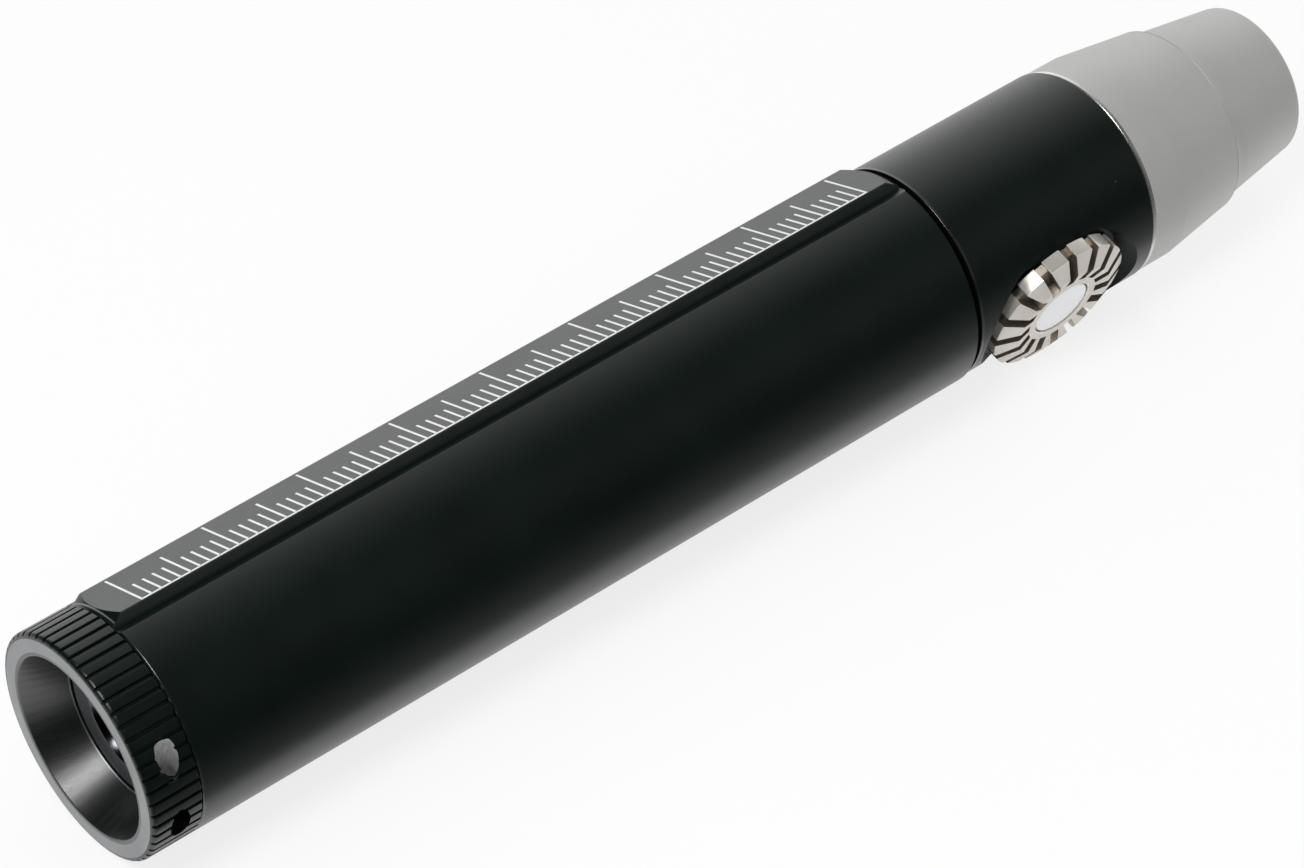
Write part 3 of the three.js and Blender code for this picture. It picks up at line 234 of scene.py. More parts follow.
# Camera, in metres, degrees and pixels of the photograph, with a sensor in millimetres
CAMERA_PLACE = (-0.214294, -0.288193, 0.295294)
CAMERA_TURN = (51.1118, 4.3721, -39.3261)
FOCAL_PIXELS = 5104.91
PHOTO_WIDTH = 1304
SENSOR_WIDTH = 36

# Studio, in metres, degrees, watts and plain light levels. The card's light changes with the angle round
# the object's axis, from one set of levels at the front to another at the rear, and fades in front.
WORLD_LIGHT = 0.85
WORLD_SEEN = 1.0
FLOOR_HALF = 1.5
FLOOR_CELLS = 8
FLOOR_GLOW = 0.8
LAMP_PLACE = (-0.278, -0.094, 0.487)
LAMP_AIM = (-0.05, 0, 0)
LAMP_SIZE = 0.24
LAMP_POWER = 1.3
CARD_RADIUS = 0.6
CARD_LENGTH = 4.0
CARD_NEAR = 0.014
CARD_LIFT = 0.0003
CARD_STEPS = 36
CARD_LOW = -40
CARD_HIGH = 180
CARD_TURNS = (-36, -18, -6, 36, 68, 100, 132, 180)
CARD_FRONT_LIGHT = (0.5, 0.16, 0.02, 0.05, 0.015, 0.25, 0.95, 1.4)
CARD_REAR_LIGHT = (0.5, 0.16, 0.03, 0.22, 0.04, 0.38, 0.9, 1.3)
CARD_CHANGE = (-0.12, -0.42)
CARD_FADE = (-0.05, 0.15)

# Sizes that follow
SEAL_HALF_GROOVE = SEAL_RADIUS + SEAL_SLIP
THREAD_LENGTH = THREAD_PITCH * THREAD_TURNS
RING_REAR = TUBE_FRONT - RING_GAP
HEAD_FRONT = TUBE_REAR + HEAD_GAP
TAIL_FRONT = HEAD_REAR + TAIL_GAP
TAIL_SOCKET_FRONT = TAIL_SPIGOT_END - SEAT
HEAD_SHOULDER_X = HEAD_FRONT + HEAD_SHOULDER
TAIL_TAPER_START = TAIL_FRONT + TAIL_COLLAR_LENGTH
TAIL_NECK_START = TAIL_TAPER_START + TAIL_TAPER_LENGTH
TAIL_END_START = TAIL_NECK_START + TAIL_NECK_LENGTH
TUBE_BORE_RADIUS = TUBE_RADIUS - TUBE_WALL
SOCKET_RADIUS = TUBE_RADIUS - SOCKET_WALL
RAIL_TOP = TUBE_RADIUS + RAIL_RISE
LEDGE_LEVEL = RAIL_TOP - RAIL_WALL
LIP_RADIUS = TUBE_RADIUS - LIP_CHAMFER
HEAD_RADIUS = TUBE_RADIUS - HEAD_STEP
HEAD_BORE_RADIUS = HEAD_RADIUS - HEAD_WALL
POCKET_FLOOR = HEAD_RADIUS - POCKET_DEPTH
DIAL_BASE = POCKET_FLOOR + SEAT
DIAL_RIM = DIAL_BASE + DIAL_SIDE
DIAL_KNEE = DIAL_RIM + DIAL_KNEE_RISE
DIAL_TOP = DIAL_KNEE - DIAL_DISH
WELL_RADIUS = BUTTON_RADIUS + SLIP / 2
TAIL_SOCKET_RADIUS = POCKET_FLOOR - TAIL_SOCKET_WALL
TAIL_COLLAR_RADIUS = HEAD_RADIUS - TAIL_STEP
TAIL_TAPER_RADIUS = TAIL_COLLAR_RADIUS - TAIL_TAPER_DROP
TAIL_NECK_RADIUS = TAIL_TAPER_RADIUS - TAIL_NECK_DROP
TAIL_END_RADIUS = TAIL_NECK_RADIUS - TAIL_END_DROP


def seal_floor(socket_radius):
    return socket_radius - SEAL_SLIP - SEAL_RADIUS - SEAL_HALF_GROOVE


def spigot_radius(socket_radius):
    return socket_radius - SLIP - THREAD_HEIGHT


def spigot_bore(socket_radius):
    return seal_floor(socket_radius) - SPIGOT_WALL


INSERT_RADIUS = spigot_bore(SOCKET_RADIUS) - SLIP
FUNNEL_THROAT_RADIUS = spigot_bore(SOCKET_RADIUS) - FUNNEL_SEAT_WIDTH

dial_axis = JOINTS["dial_turn"]["axis"]
ROLL = math.atan2(dial_axis[2], dial_axis[1]) - math.radians(90 + DIAL_FROM_RAIL)
PLACE = (
    Matrix.Translation((FRONT, AXIS.y, AXIS.z))
    @ Matrix.Rotation(ROLL, 4, "X")
    @ Matrix.Scale(MM, 4)
)
# The dial's pieces are drawn round Z, out along the dial's axis.
ON_DIAL = Matrix.Translation((DIAL_X, 0, 0)) @ Matrix.Rotation(math.radians(DIAL_FROM_RAIL), 4, "X")
X_TO_Z = Matrix.Rotation(math.radians(-90), 4, "Y")
X_TO_Y = Matrix.Rotation(math.radians(90), 4, "Z")


# Finishes

def add(tree, kind, settings, sockets):
    """A node with its settings, and with each named socket set to a value or joined to an output."""
    node = tree.nodes.new(kind)
    for name, value in settings.items():
        setattr(node, name, value)
    for name, value in sockets.items():
        if isinstance(value, bpy.types.NodeSocket):
            tree.links.new(value, node.inputs[name])
        else:
            node.inputs[name].default_value = value
    return node


def ramp(tree, factor, stops):
    """The colour that blends between stops, each a place and a colour."""
    node = add(tree, "ShaderNodeValToRGB", {}, {"Fac": factor})
    elements = node.color_ramp.elements
    while len(elements) < len(stops):
        elements.new(0.5)
    for element, (place, colour) in zip(elements, stops):
        element.position = place
        element.color = (*colour, 1)
    return node.outputs["Color"]


def grained(
    name, dark, light, cloud, grain, rough, bump, metal=0.0, ior=1.5, stretch=(1, 1, 1), extra=None,
):
    """A finish whose colour drifts in clouds and whose roughness and relief follow a finer grain.

    cloud and grain are the sizes of the two patterns in millimetres, rough the least and most roughness
    and bump the grain's height in micrometres.
    """
    material = bpy.data.materials.new(name)
    material.use_nodes = True
    tree = material.node_tree
    shader = tree.nodes["Principled BSDF"]
    place = add(tree, "ShaderNodeTexCoord", {}, {}).outputs["Object"]
    place = add(tree, "ShaderNodeMapping", {}, {"Vector": place, "Scale": stretch}).outputs["Vector"]
    clouds = add(tree, "ShaderNodeTexNoise", {}, {
        "Vector": place, "Scale": 1 / (cloud * MM), "Detail": CLOUD_DETAIL,
    })
    grains = add(tree, "ShaderNodeTexNoise", {}, {
        "Vector": place, "Scale": 1 / (grain * MM), "Detail": GRAIN_DETAIL,
    })
    colour = ramp(tree, clouds.outputs["Fac"], [(NOISE_LOW, dark), (NOISE_HIGH, light)])
    if extra:
        colour = extra(tree, place, colour)
    tree.links.new(colour, shader.inputs["Base Color"])
    spread = add(tree, "ShaderNodeMapRange", {}, {
        "Value": grains.outputs["Fac"], "From Min": NOISE_LOW, "From Max": NOISE_HIGH,
        "To Min": rough[0], "To Max": rough[1],
    })
    tree.links.new(spread.outputs["Result"], shader.inputs["Roughness"])
    relief = add(tree, "ShaderNodeBump", {}, {
        "Strength": 1.0, "Distance": bump * MM * MM, "Height": grains.outputs["Fac"],
    })
    tree.links.new(relief.outputs["Normal"], shader.inputs["Normal"])
    shader.inputs["Metallic"].default_value = metal
    shader.inputs["IOR"].default_value = ior
    return material


def specks(size, spacing, colour):
    """Sparse specks of another colour, one in each cell of a scattered pattern."""
    def scatter(tree, place, base):
        cells = add(tree, "ShaderNodeTexVoronoi", {}, {"Vector": place, "Scale": 1 / (spacing * MM)})
        mask = add(tree, "ShaderNodeMapRange", {}, {
            "Value": cells.outputs["Distance"], "From Min": 0.0, "From Max": size / spacing,
            "To Min": 1.0, "To Max": 0.0,
        })
        mix = add(tree, "ShaderNodeMix", {"data_type": "RGBA"}, {
            "Factor": mask.outputs["Result"], "A": base, "B": (*colour, 1),
        })
        return mix.outputs["Result"]
    return scatter


FINISHES = {
    "black_anodised": grained(
        "black_anodised", (0.0003, 0.005, 0.003), (0.001, 0.0075, 0.005), 6, 0.09, (0.28, 0.38), 2,
        ior=1.55, extra=specks(0.12, 9, (0.09, 0.1, 0.1)),
    ),
    "grey_metal": grained(
        "grey_metal", (0.49, 0.49, 0.475), (0.52, 0.52, 0.505), 9, 0.08, (0.42, 0.58), 5, metal=0.35,
    ),
    "nickel": grained(
        "nickel", (0.8, 0.765, 0.69), (0.88, 0.85, 0.78), 3, 1.2, (0.16, 0.28), 0.6, metal=0.68,
    ),
    "retainer_metal": grained(
        "retainer_metal", (0.12, 0.125, 0.13), (0.17, 0.175, 0.18), 2, 0.08, (0.3, 0.45), 3, metal=0.8,
    ),
    "dark_glass": grained(
        "dark_glass", (0.002, 0.0015, 0.004), (0.004, 0.003, 0.009), 5, 0.6, (0.03, 0.06), 0.2, ior=1.55,
    ),
    "white_plastic": grained(
        "white_plastic", (0.92, 0.93, 0.96), (0.95, 0.96, 0.98), 3, 0.15, (0.3, 0.42), 1,
    ),
    "black_rubber": grained(
        "black_rubber", (0.006, 0.006, 0.006), (0.012, 0.012, 0.012), 2, 0.1, (0.6, 0.8), 3,
    ),
    "bare_metal": grained(
        "bare_metal", (0.5, 0.5, 0.51), (0.68, 0.68, 0.69), 1.5, 0.12, (0.25, 0.45), 4,
        metal=1.0, stretch=(4, 1, 1),
    ),
    "clear_resin": grained(
        "clear_resin", (0.78, 0.8, 0.86), (0.86, 0.88, 0.92), 2, 0.3, (0.05, 0.1), 0.3,
    ),
    "white_ceramic": grained(
        "white_ceramic", (0.72, 0.7, 0.64), (0.8, 0.78, 0.72), 1, 0.1, (0.4, 0.55), 2,
    ),
    "brass": grained("brass", (0.55, 0.38, 0.14), (0.68, 0.5, 0.22), 3, 0.2, (0.22, 0.38), 2, metal=1.0),
    "steel": grained("steel", (0.45, 0.46, 0.47), (0.58, 0.58, 0.6), 2, 0.15, (0.22, 0.38), 2, metal=1.0),
    "green_board": grained(
        "green_board", (0.008, 0.06, 0.025), (0.016, 0.1, 0.045), 2, 0.2, (0.35, 0.5), 2,
    ),
    "black_plastic": grained(
        "black_plastic", (0.008, 0.008, 0.009), (0.016, 0.016, 0.017), 2, 0.12, (0.45, 0.6), 3,
    ),
    "ferrite": grained("ferrite", (0.025, 0.025, 0.027), (0.05, 0.05, 0.052), 1, 0.1, (0.6, 0.75), 4),
    "cell_wrap": grained("cell_wrap", (0.02, 0.06, 0.2), (0.03, 0.085, 0.26), 5, 0.3, (0.25, 0.35), 1),
    "cell_paper": grained("cell_paper", (0.72, 0.7, 0.66), (0.8, 0.78, 0.74), 1, 0.15, (0.7, 0.85), 5),
}
LIP_FINISH = grained(
    "lip_satin", (0.255, 0.265, 0.275), (0.33, 0.34, 0.35), 4, 0.08, (0.35, 0.5), 2, metal=0.9,
)
FUNNEL_FINISH = grained(
    "funnel_blasted", (0.0012, 0.0022, 0.0022), (0.002, 0.0034, 0.0034), 3, 0.11, (0.29, 0.41), 9, ior=2.0,
)
# Rounded edges: a glossier, slightly lighter copy of the black anodising, so that a bright line shows where they
# reflect the lamp; painted highlight.
EDGE_HIGHLIGHT_FINISH = grained(
    "edge_highlight", (0.003, 0.006, 0.005), (0.008, 0.012, 0.01), 1.5, 0.1, (0.18, 0.26), 2, ior=1.9,
)
# The cone's front edge: a lighter, shinier copy of the cone's grey metal, so that the edge shows a bright line;
# painted highlight.
SEAM_HIGHLIGHT_FINISH = grained(
    "seam_highlight", (0.62, 0.62, 0.6), (0.74, 0.74, 0.72), 2, 0.1, (0.22, 0.34), 2, metal=0.9,
)
DRILLED_FINISH = grained(
    "drilled_metal", (0.3, 0.3, 0.31), (0.55, 0.55, 0.56), 0.5, 0.12, (0.45, 0.6), 4,
    metal=0.3, stretch=(3, 0.6, 0.6),
)
# Near-black with little reflection, put where there is only shade: the lower lanyard hole and the faces in the
# joint between tube and housing; painted shade.
HOLLOW_SHADE_FINISH = grained(
    "hollow", (0.0008, 0.0008, 0.001), (0.0016, 0.0016, 0.002), 1, 0.1, (0.7, 0.9), 2, ior=1.1,
)
POCKET_FINISH = grained(
    "pocket_milled", (0.0003, 0.005, 0.003), (0.001, 0.0075, 0.005), 2, 0.1, (0.4, 0.52), 3, ior=1.28,
)
BORE_FINISH = grained(
    "bore_polished", (0.09, 0.09, 0.1), (0.13, 0.13, 0.14), 1, 0.1, (0.12, 0.2), 1, metal=1.0,
)
# The rail's top and its sides are lighter copies of the black anodising, which stand in for the sheen that light
# at a low angle gives them: painted sheen.
RAIL_SHEEN_FINISH = grained(
    "rail_sheen", (0.05, 0.055, 0.053), (0.065, 0.07, 0.068), 5, 0.09, (0.36, 0.46), 2, ior=1.6,
)
RAIL_SIDE_SHEEN_FINISH = grained(
    "rail_side_sheen", (0.014, 0.02, 0.017), (0.022, 0.028, 0.025), 5, 0.09, (0.36, 0.46), 2, ior=1.55,
)
DIAL_TOP_FINISH = grained(
    "nickel_satin", (0.68, 0.635, 0.585), (0.76, 0.715, 0.665), 3, 0.15, (0.34, 0.46), 2, metal=0.25,
)
# Darker nickel in the dial's slots, for the shade in them: painted shade.
SLOT_SHADE_FINISH = grained(
    "nickel_shade", (0.32, 0.27, 0.21), (0.46, 0.41, 0.34), 1, 0.2, (0.3, 0.45), 2, metal=0.85,
)
RULER_FINISH = grained("ruler_white", (0.78, 0.79, 0.78), (0.9, 0.9, 0.9), 0.8, 0.1, (0.45, 0.6), 2)


# Meshes

def rounded(corners):
    """A closed outline with its corners (a, b, radius, ...) turned into arcs. Anything after the radius
    is kept with each point."""
    points = []
    for i, (a, b, radius, *rest) in enumerate(corners):
        here = Vector((a, b))
        if radius == 0:
            points.append((a, b, *rest))
            continue
        back = (Vector(corners[i - 1][:2]) - here).normalized()
        ahead = (Vector(corners[(i + 1) % len(corners)][:2]) - here).normalized()
        half = back.angle(ahead) / 2
        centre = here + (back + ahead).normalized() * radius / math.sin(half)
        start = here + back * radius / math.tan(half) - centre
        end = here + ahead * radius / math.tan(half) - centre
        first = math.atan2(start.y, start.x)
        sweep = math.remainder(math.atan2(end.y, end.x) - first, 2 * math.pi)
        for step in range(ARC_STEPS + 1):
            angle = first + sweep * step / ARC_STEPS
            points.append((centre.x + radius * math.cos(angle), centre.y + radius * math.sin(angle), *rest))
    return points


def mesh_object(name, build, finishes):
    """An object whose mesh the function build fills in."""
    mesh = bpy.data.meshes.new(name)
    shape = bmesh.new()
    build(shape)
    bmesh.ops.remove_doubles(shape, verts=shape.verts, dist=WELD_DISTANCE)
    bmesh.ops.recalc_face_normals(shape, faces=shape.faces)
    shape.to_mesh(mesh)
    shape.free()
    obj = bpy.data.objects.new(name, mesh)
    bpy.context.scene.collection.objects.link(obj)
    for finish in finishes:
        mesh.materials.append(finish)
    return obj


def turned(name, profile, finishes, angles=None, trim=None):
    """A profile of (station, radius, finish index), a closed loop, turned round X. trim limits the radius
    at an angle."""
    spokes = angles or [2 * math.pi * i / SIDES for i in range(SIDES)]

    def build(shape):
        rings = []
        for angle in spokes:
            limit = trim(angle) if trim else math.inf
            ring = []
            for station, radius, *_ in profile:
                reach = min(radius, limit)
                ring.append(shape.verts.new((station, reach * math.cos(angle), reach * math.sin(angle))))
            rings.append(ring)
        for i, ring in enumerate(rings):
            after = rings[(i + 1) % len(rings)]
            for j in range(len(profile)):
                k = (j + 1) % len(profile)
                face = shape.faces.new((ring[j], ring[k], after[k], after[j]))
                face.material_index = profile[j][2] if len(profile[j]) > 2 else 0
    return mesh_object(name, build, finishes)


def prism(shape, ends):
    """The faces of a prism between two matching loops of points."""
    first, last = ([shape.verts.new(point) for point in end] for end in ends)
    for i in range(len(first)):
        k = (i + 1) % len(first)
        shape.faces.new((first[i], first[k], last[k], last[i]))
    shape.faces.new(first)
    shape.faces.new(last)


def extruded(name, outline, start, end, finishes):
    """An outline of (y, z) points, drawn along X."""
    def build(shape):
        prism(shape, [[(x, y, z) for y, z in outline] for x in (start, end)])
    return mesh_object(name, build, finishes)


def boxes(name, corners, finishes):
    """Blocks given by their lowest and highest corners, in one mesh."""
    def build(shape):
        for low, high in corners:
            size = [b - a for a, b in zip(low, high)]
            centre = [(a + b) / 2 for a, b in zip(low, high)]
            matrix = Matrix.Translation(centre) @ Matrix.Diagonal((*size, 1))
            bmesh.ops.create_cube(shape, size=1, matrix=matrix)
    return mesh_object(name, build, finishes)


def combined(obj, tools, operation):
    """obj cut by or kept inside the tools, which are used up."""
    for tool in tools:
        modifier = obj.modifiers.new("combine", "BOOLEAN")
        modifier.operation = operation
        modifier.solver = "EXACT"
        modifier.material_mode = "TRANSFER"
        modifier.object = tool
    bpy.context.view_layer.update()
    graph = bpy.context.evaluated_depsgraph_get()
    mesh = bpy.data.meshes.new_from_object(obj.evaluated_get(graph))
    obj.modifiers.clear()
    obj.data = mesh
    for tool in tools:
        bpy.data.objects.remove(tool)
    return obj


def shaded(obj, edge):
    """Smooth shading up to sharp edges, which are eased by a small bevel where one is given."""
    obj.data.shade_smooth()
    obj.data.set_sharp_from_angle(angle=math.radians(SHARP_TURN))
    if edge:
        bevel = obj.modifiers.new("edges", "BEVEL")
        bevel.width = edge * MM
        bevel.segments = BEVEL_STEPS
        bevel.limit_method = "ANGLE"
        bevel.angle_limit = math.radians(SHARP_TURN)
        bevel.harden_normals = True
    weighted = obj.modifiers.new("normals", "WEIGHTED_NORMAL")
    weighted.keep_sharp = True


def fitted(obj, body, nodes=(), edge=0, place=Matrix.Identity(4)):
    """Moves a drawn piece into the frame, where it rides on a body in place of CAD nodes."""
    obj.data.transform(PLACE @ place)
    shaded(obj, edge)
    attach(obj, body)
    if nodes:
        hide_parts(*nodes)


def thread(name, start, radius, body, slot):
    """A right-hand ridge round a spigot."""
    section = [
        (-THREAD_ROOT_WIDTH / 2, radius - THREAD_SINK),
        (-THREAD_CREST_WIDTH / 2, radius + THREAD_HEIGHT),
        (THREAD_CREST_WIDTH / 2, radius + THREAD_HEIGHT),
        (THREAD_ROOT_WIDTH / 2, radius - THREAD_SINK),
    ]

    def build(shape):
        rings = []
        for i in range(int(THREAD_TURNS * TURN_STEPS) + 1):
            turn = i / TURN_STEPS
            angle = 2 * math.pi * turn
            rings.append([
                shape.verts.new((start + THREAD_PITCH * turn + x, r * math.cos(angle), r * math.sin(angle)))
                for x, r in section
            ])
        for ring, after in zip(rings, rings[1:]):
            for j in range(len(section)):
                k = (j + 1) % len(section)
                shape.faces.new((ring[j], ring[k], after[k], after[j]))
        shape.faces.new(rings[0])
        shape.faces.new(rings[-1])
    fitted(mesh_object(name, build, [FINISHES[slot]]), body)


def seal_groove(place, socket_radius, *rest):
    """The corners of a spigot's seal groove. Anything after the radius is kept with each corner."""
    top = spigot_radius(socket_radius)
    floor = seal_floor(socket_radius)
    return [
        (place - SEAL_HALF_GROOVE, top, 0, *rest),
        (place - SEAL_HALF_GROOVE, floor, 0, *rest),
        (place + SEAL_HALF_GROOVE, floor, 0, *rest),
        (place + SEAL_HALF_GROOVE, top, 0, *rest),
    ]


# Bezel

def knurl_spokes():
    """Angles round the ring with the depth of the knurl at each."""
    depths = {}
    pitch = 2 * math.pi / KNURL_COUNT
    for i in range(KNURL_COUNT):
        centre = math.radians(KNURL_PHASE + 90) + pitch * i
        for across, share in GROOVE_SECTION:
            depths[centre + across * KNURL_WIDTH / TUBE_RADIUS] = share * KNURL_DEPTH
        for land in LAND_SPOKES:
            depths[centre + land * pitch] = 0.0
    return depths


def tunnel_hole(slope, finish):
    """One of the two slanted holes that meet in the lanyard's tunnel."""
    spread = math.radians(TUNNEL_SPREAD)
    dip = math.tan(math.radians(TUNNEL_DIP))
    meeting = TUBE_RADIUS * (math.cos(spread) - math.sin(spread) * dip)
    start = -TUNNEL_RADIUS * dip
    hole = turned("tunnel", [
        (start, 0), (start, TUNNEL_RADIUS), (TUBE_RADIUS, TUNNEL_RADIUS), (TUBE_RADIUS, 0),
    ], [finish])
    hole.data.transform(
        Matrix.Rotation(math.radians(TUNNEL_FROM_RAIL), 4, "X")
        @ Matrix.Translation((TUNNEL_STATION, 0, meeting))
        @ Matrix.Rotation(math.radians(slope), 4, "X")
        @ X_TO_Y
    )
    return hole


def bezel():
    outer, lip, funnel = 0, 1, 2
    inside = spigot_radius(SOCKET_RADIUS)
    mouth = LIP_RADIUS - LIP_WIDTH
    flare = (mouth - FUNNEL_THROAT_RADIUS) / FUNNEL_DEPTH
    profile = rounded([
        (0, mouth, LIP_ROUND, funnel),
        (0, mouth + LIP_ROUND_WIDTH, 0, lip),
        (0, TUBE_RADIUS, LIP_CHAMFER, outer),
        (RING_REAR, TUBE_RADIUS, RING_REAR_ROUND, outer),
        (RING_REAR, inside, 0, outer),
        *seal_groove(BEZEL_SEAL, SOCKET_RADIUS, outer),
        (BEZEL_REAR, inside, SPIGOT_ROUND, outer),
        (BEZEL_REAR, spigot_bore(SOCKET_RADIUS), 0, outer),
        (FUNNEL_DEPTH + FUNNEL_SEAT, spigot_bore(SOCKET_RADIUS), 0, outer),
        (FUNNEL_DEPTH + FUNNEL_SEAT, FUNNEL_THROAT_RADIUS, 0, outer),
        (FUNNEL_DEPTH, FUNNEL_THROAT_RADIUS, THROAT_ROUND, lip),
        (FUNNEL_DEPTH - THROAT_EDGE, FUNNEL_THROAT_RADIUS + flare * THROAT_EDGE, 0, funnel),
    ])
    depths = knurl_spokes()
    ring = turned(
        "bezel_ring_fine", profile, [FINISHES["black_anodised"], LIP_FINISH, FUNNEL_FINISH],
        sorted(depths), lambda angle: TUBE_RADIUS - depths[angle],
    )
    # The upper hole shows drilled metal. The lower hole is lined with painted shade.
    holes = [tunnel_hole(TUNNEL_DIP, DRILLED_FINISH), tunnel_hole(180 - TUNNEL_DIP, HOLLOW_SHADE_FINISH)]
    fitted(combined(ring, holes, "DIFFERENCE"), "bezel", ["bezel_ring"])
    start = BEZEL_REAR - THREAD_LEAD - THREAD_LENGTH
    thread("bezel_thread", start, inside, "bezel", "black_anodised")


def lens():
    shoulder = RETAINER_REAR - RETAINER_THICKNESS
    face, bore = 0, 1
    retainer = turned("lens_retainer_fine", rounded([
        (RETAINER_FRONT, APERTURE_RADIUS + APERTURE_BEVEL_WIDTH, APERTURE_ROUND, face),
        (RETAINER_FRONT, FUNNEL_THROAT_RADIUS - SLIP, RETAINER_ROUND, face),
        (shoulder, FUNNEL_THROAT_RADIUS - SLIP, 0, face),
        (shoulder, INSERT_RADIUS, 0, face),
        (RETAINER_REAR, INSERT_RADIUS, 0, face),
        (RETAINER_REAR, APERTURE_RADIUS, 0, bore),
        (RETAINER_FRONT + APERTURE_BEVEL_DEPTH, APERTURE_RADIUS, APERTURE_BEVEL_ROUND, bore),
    ]), [FINISHES["retainer_metal"], BORE_FINISH])
    fitted(retainer, "bezel", ["lens_retainer"])

    front = LENS_REAR - LENS_THICKNESS
    rise = front - LENS_TIP
    ball = (LENS_DOME_RADIUS ** 2 + rise ** 2) / (2 * rise)
    spread = math.asin(LENS_DOME_RADIUS / ball)
    dome = [
        (LENS_TIP + ball - ball * math.cos(angle), ball * math.sin(angle))
        for angle in (spread * i / DOME_STEPS for i in range(DOME_STEPS + 1))
    ]
    rim = INSERT_RADIUS - GASKET_WIDTH - SLIP
    outline = [*dome, (front, rim), (LENS_REAR, rim), (LENS_REAR, 0)]
    glass = turned("filter_lens_fine", outline, [FINISHES["dark_glass"]])
    fitted(glass, "bezel", ["filter_lens"])


# Battery tube

def tube():
    rail_half = RAIL_WIDTH / 2
    ledge_half = math.sqrt(TUBE_RADIUS ** 2 - LEDGE_LEVEL ** 2)
    ledge_angle = math.atan2(LEDGE_LEVEL, ledge_half)
    sweep = math.pi + 2 * ledge_angle
    around = [
        (TUBE_RADIUS * math.cos(angle), TUBE_RADIUS * math.sin(angle), 0)
        for angle in (math.pi - ledge_angle + sweep * i / SIDES for i in range(1, SIDES))
    ]
    outline = rounded([
        (ledge_half, LEDGE_LEVEL, LEDGE_EDGE_ROUND),
        (rail_half, LEDGE_LEVEL, LEDGE_CORNER_ROUND),
        (rail_half, RAIL_TOP, RAIL_ROUND),
        (-rail_half, RAIL_TOP, RAIL_ROUND),
        (-rail_half, LEDGE_LEVEL, LEDGE_CORNER_ROUND),
        (-ledge_half, LEDGE_LEVEL, LEDGE_EDGE_ROUND),
        *around,
    ])
    body, rail, painted_highlight, dark, side = 0, 1, 2, 3, 4
    finishes = [FINISHES["black_anodised"], RAIL_SHEEN_FINISH, EDGE_HIGHLIGHT_FINISH, HOLLOW_SHADE_FINISH, RAIL_SIDE_SHEEN_FINISH]
    blank = extruded("battery_tube_fine", outline, TUBE_FRONT, TUBE_REAR, finishes)
    # The rail's top and side faces take the lighter rail finishes, a painted sheen.
    rail_low = (LEDGE_LEVEL + RAIL_TOP) / 2 - FACE_SLACK
    for face in blank.data.polygons:
        if face.center.z > rail_low and abs(face.center.y) < rail_half + FACE_SLACK:
            face.material_index = rail if face.normal.z > FLAT_NORMAL else side
    corner = math.hypot(rail_half, RAIL_TOP) + OVERCUT
    crest = TUBE_RADIUS + RAIL_END_CLEARANCE
    bevel = RAIL_END_SLOPE * (corner - crest)
    ends = turned("ends", rounded([
        (TUBE_FRONT, 0, 0, body),
        # The front edge has the edge finish, a painted highlight.
        (TUBE_FRONT, crest, TUBE_EDGE, painted_highlight),
        (TUBE_FRONT + RAIL_SETBACK, crest, 0, body),
        (TUBE_FRONT + RAIL_SETBACK + bevel, corner, 0, body),
        (TUBE_REAR - RAIL_SETBACK - bevel, corner, 0, body),
        (TUBE_REAR - RAIL_SETBACK, crest, 0, body),
        # The rear edge, in the joint, has the near-black finish, a painted shade.
        (TUBE_REAR, crest, TUBE_EDGE, dark),
        (TUBE_REAR, 0, 0, body),
    ]), finishes)
    depth = SPIGOT_LENGTH + SEAT
    bore = turned("bore", [
        (TUBE_FRONT - OVERCUT, 0),
        (TUBE_FRONT - OVERCUT, SOCKET_RADIUS),
        (TUBE_FRONT + depth, SOCKET_RADIUS),
        (TUBE_FRONT + depth, TUBE_BORE_RADIUS),
        (TUBE_REAR - depth, TUBE_BORE_RADIUS),
        (TUBE_REAR - depth, SOCKET_RADIUS),
        (TUBE_REAR + OVERCUT, SOCKET_RADIUS),
        (TUBE_REAR + OVERCUT, 0),
    ], finishes)
    hollow = combined(combined(blank, [ends], "INTERSECT"), [bore], "DIFFERENCE")
    fitted(hollow, "tube", ["battery_tube"], EDGE)


def ruler():
    half = RULER_LINE / 2
    low = RAIL_TOP - RULER_HEIGHT
    high = RAIL_TOP + RULER_HEIGHT
    marks = [(
        (RULER_START - half, RULER_BASE - half, low),
        (RULER_START + RULER_LENGTH + half, RULER_BASE + half, high),
    )]
    for millimetre in range(RULER_LENGTH + 1):
        place = RULER_START + millimetre
        if millimetre % 10 == 0:
            length = TEN_TICK
        elif millimetre % 5 == 0:
            length = FIVE_TICK
        else:
            length = ONE_TICK
        marks.append(((place - half, RULER_BASE, low), (place + half, RULER_BASE + length, high)))
    fitted(boxes("ruler_marks", marks, [RULER_FINISH]), "tube")


# Dial housing

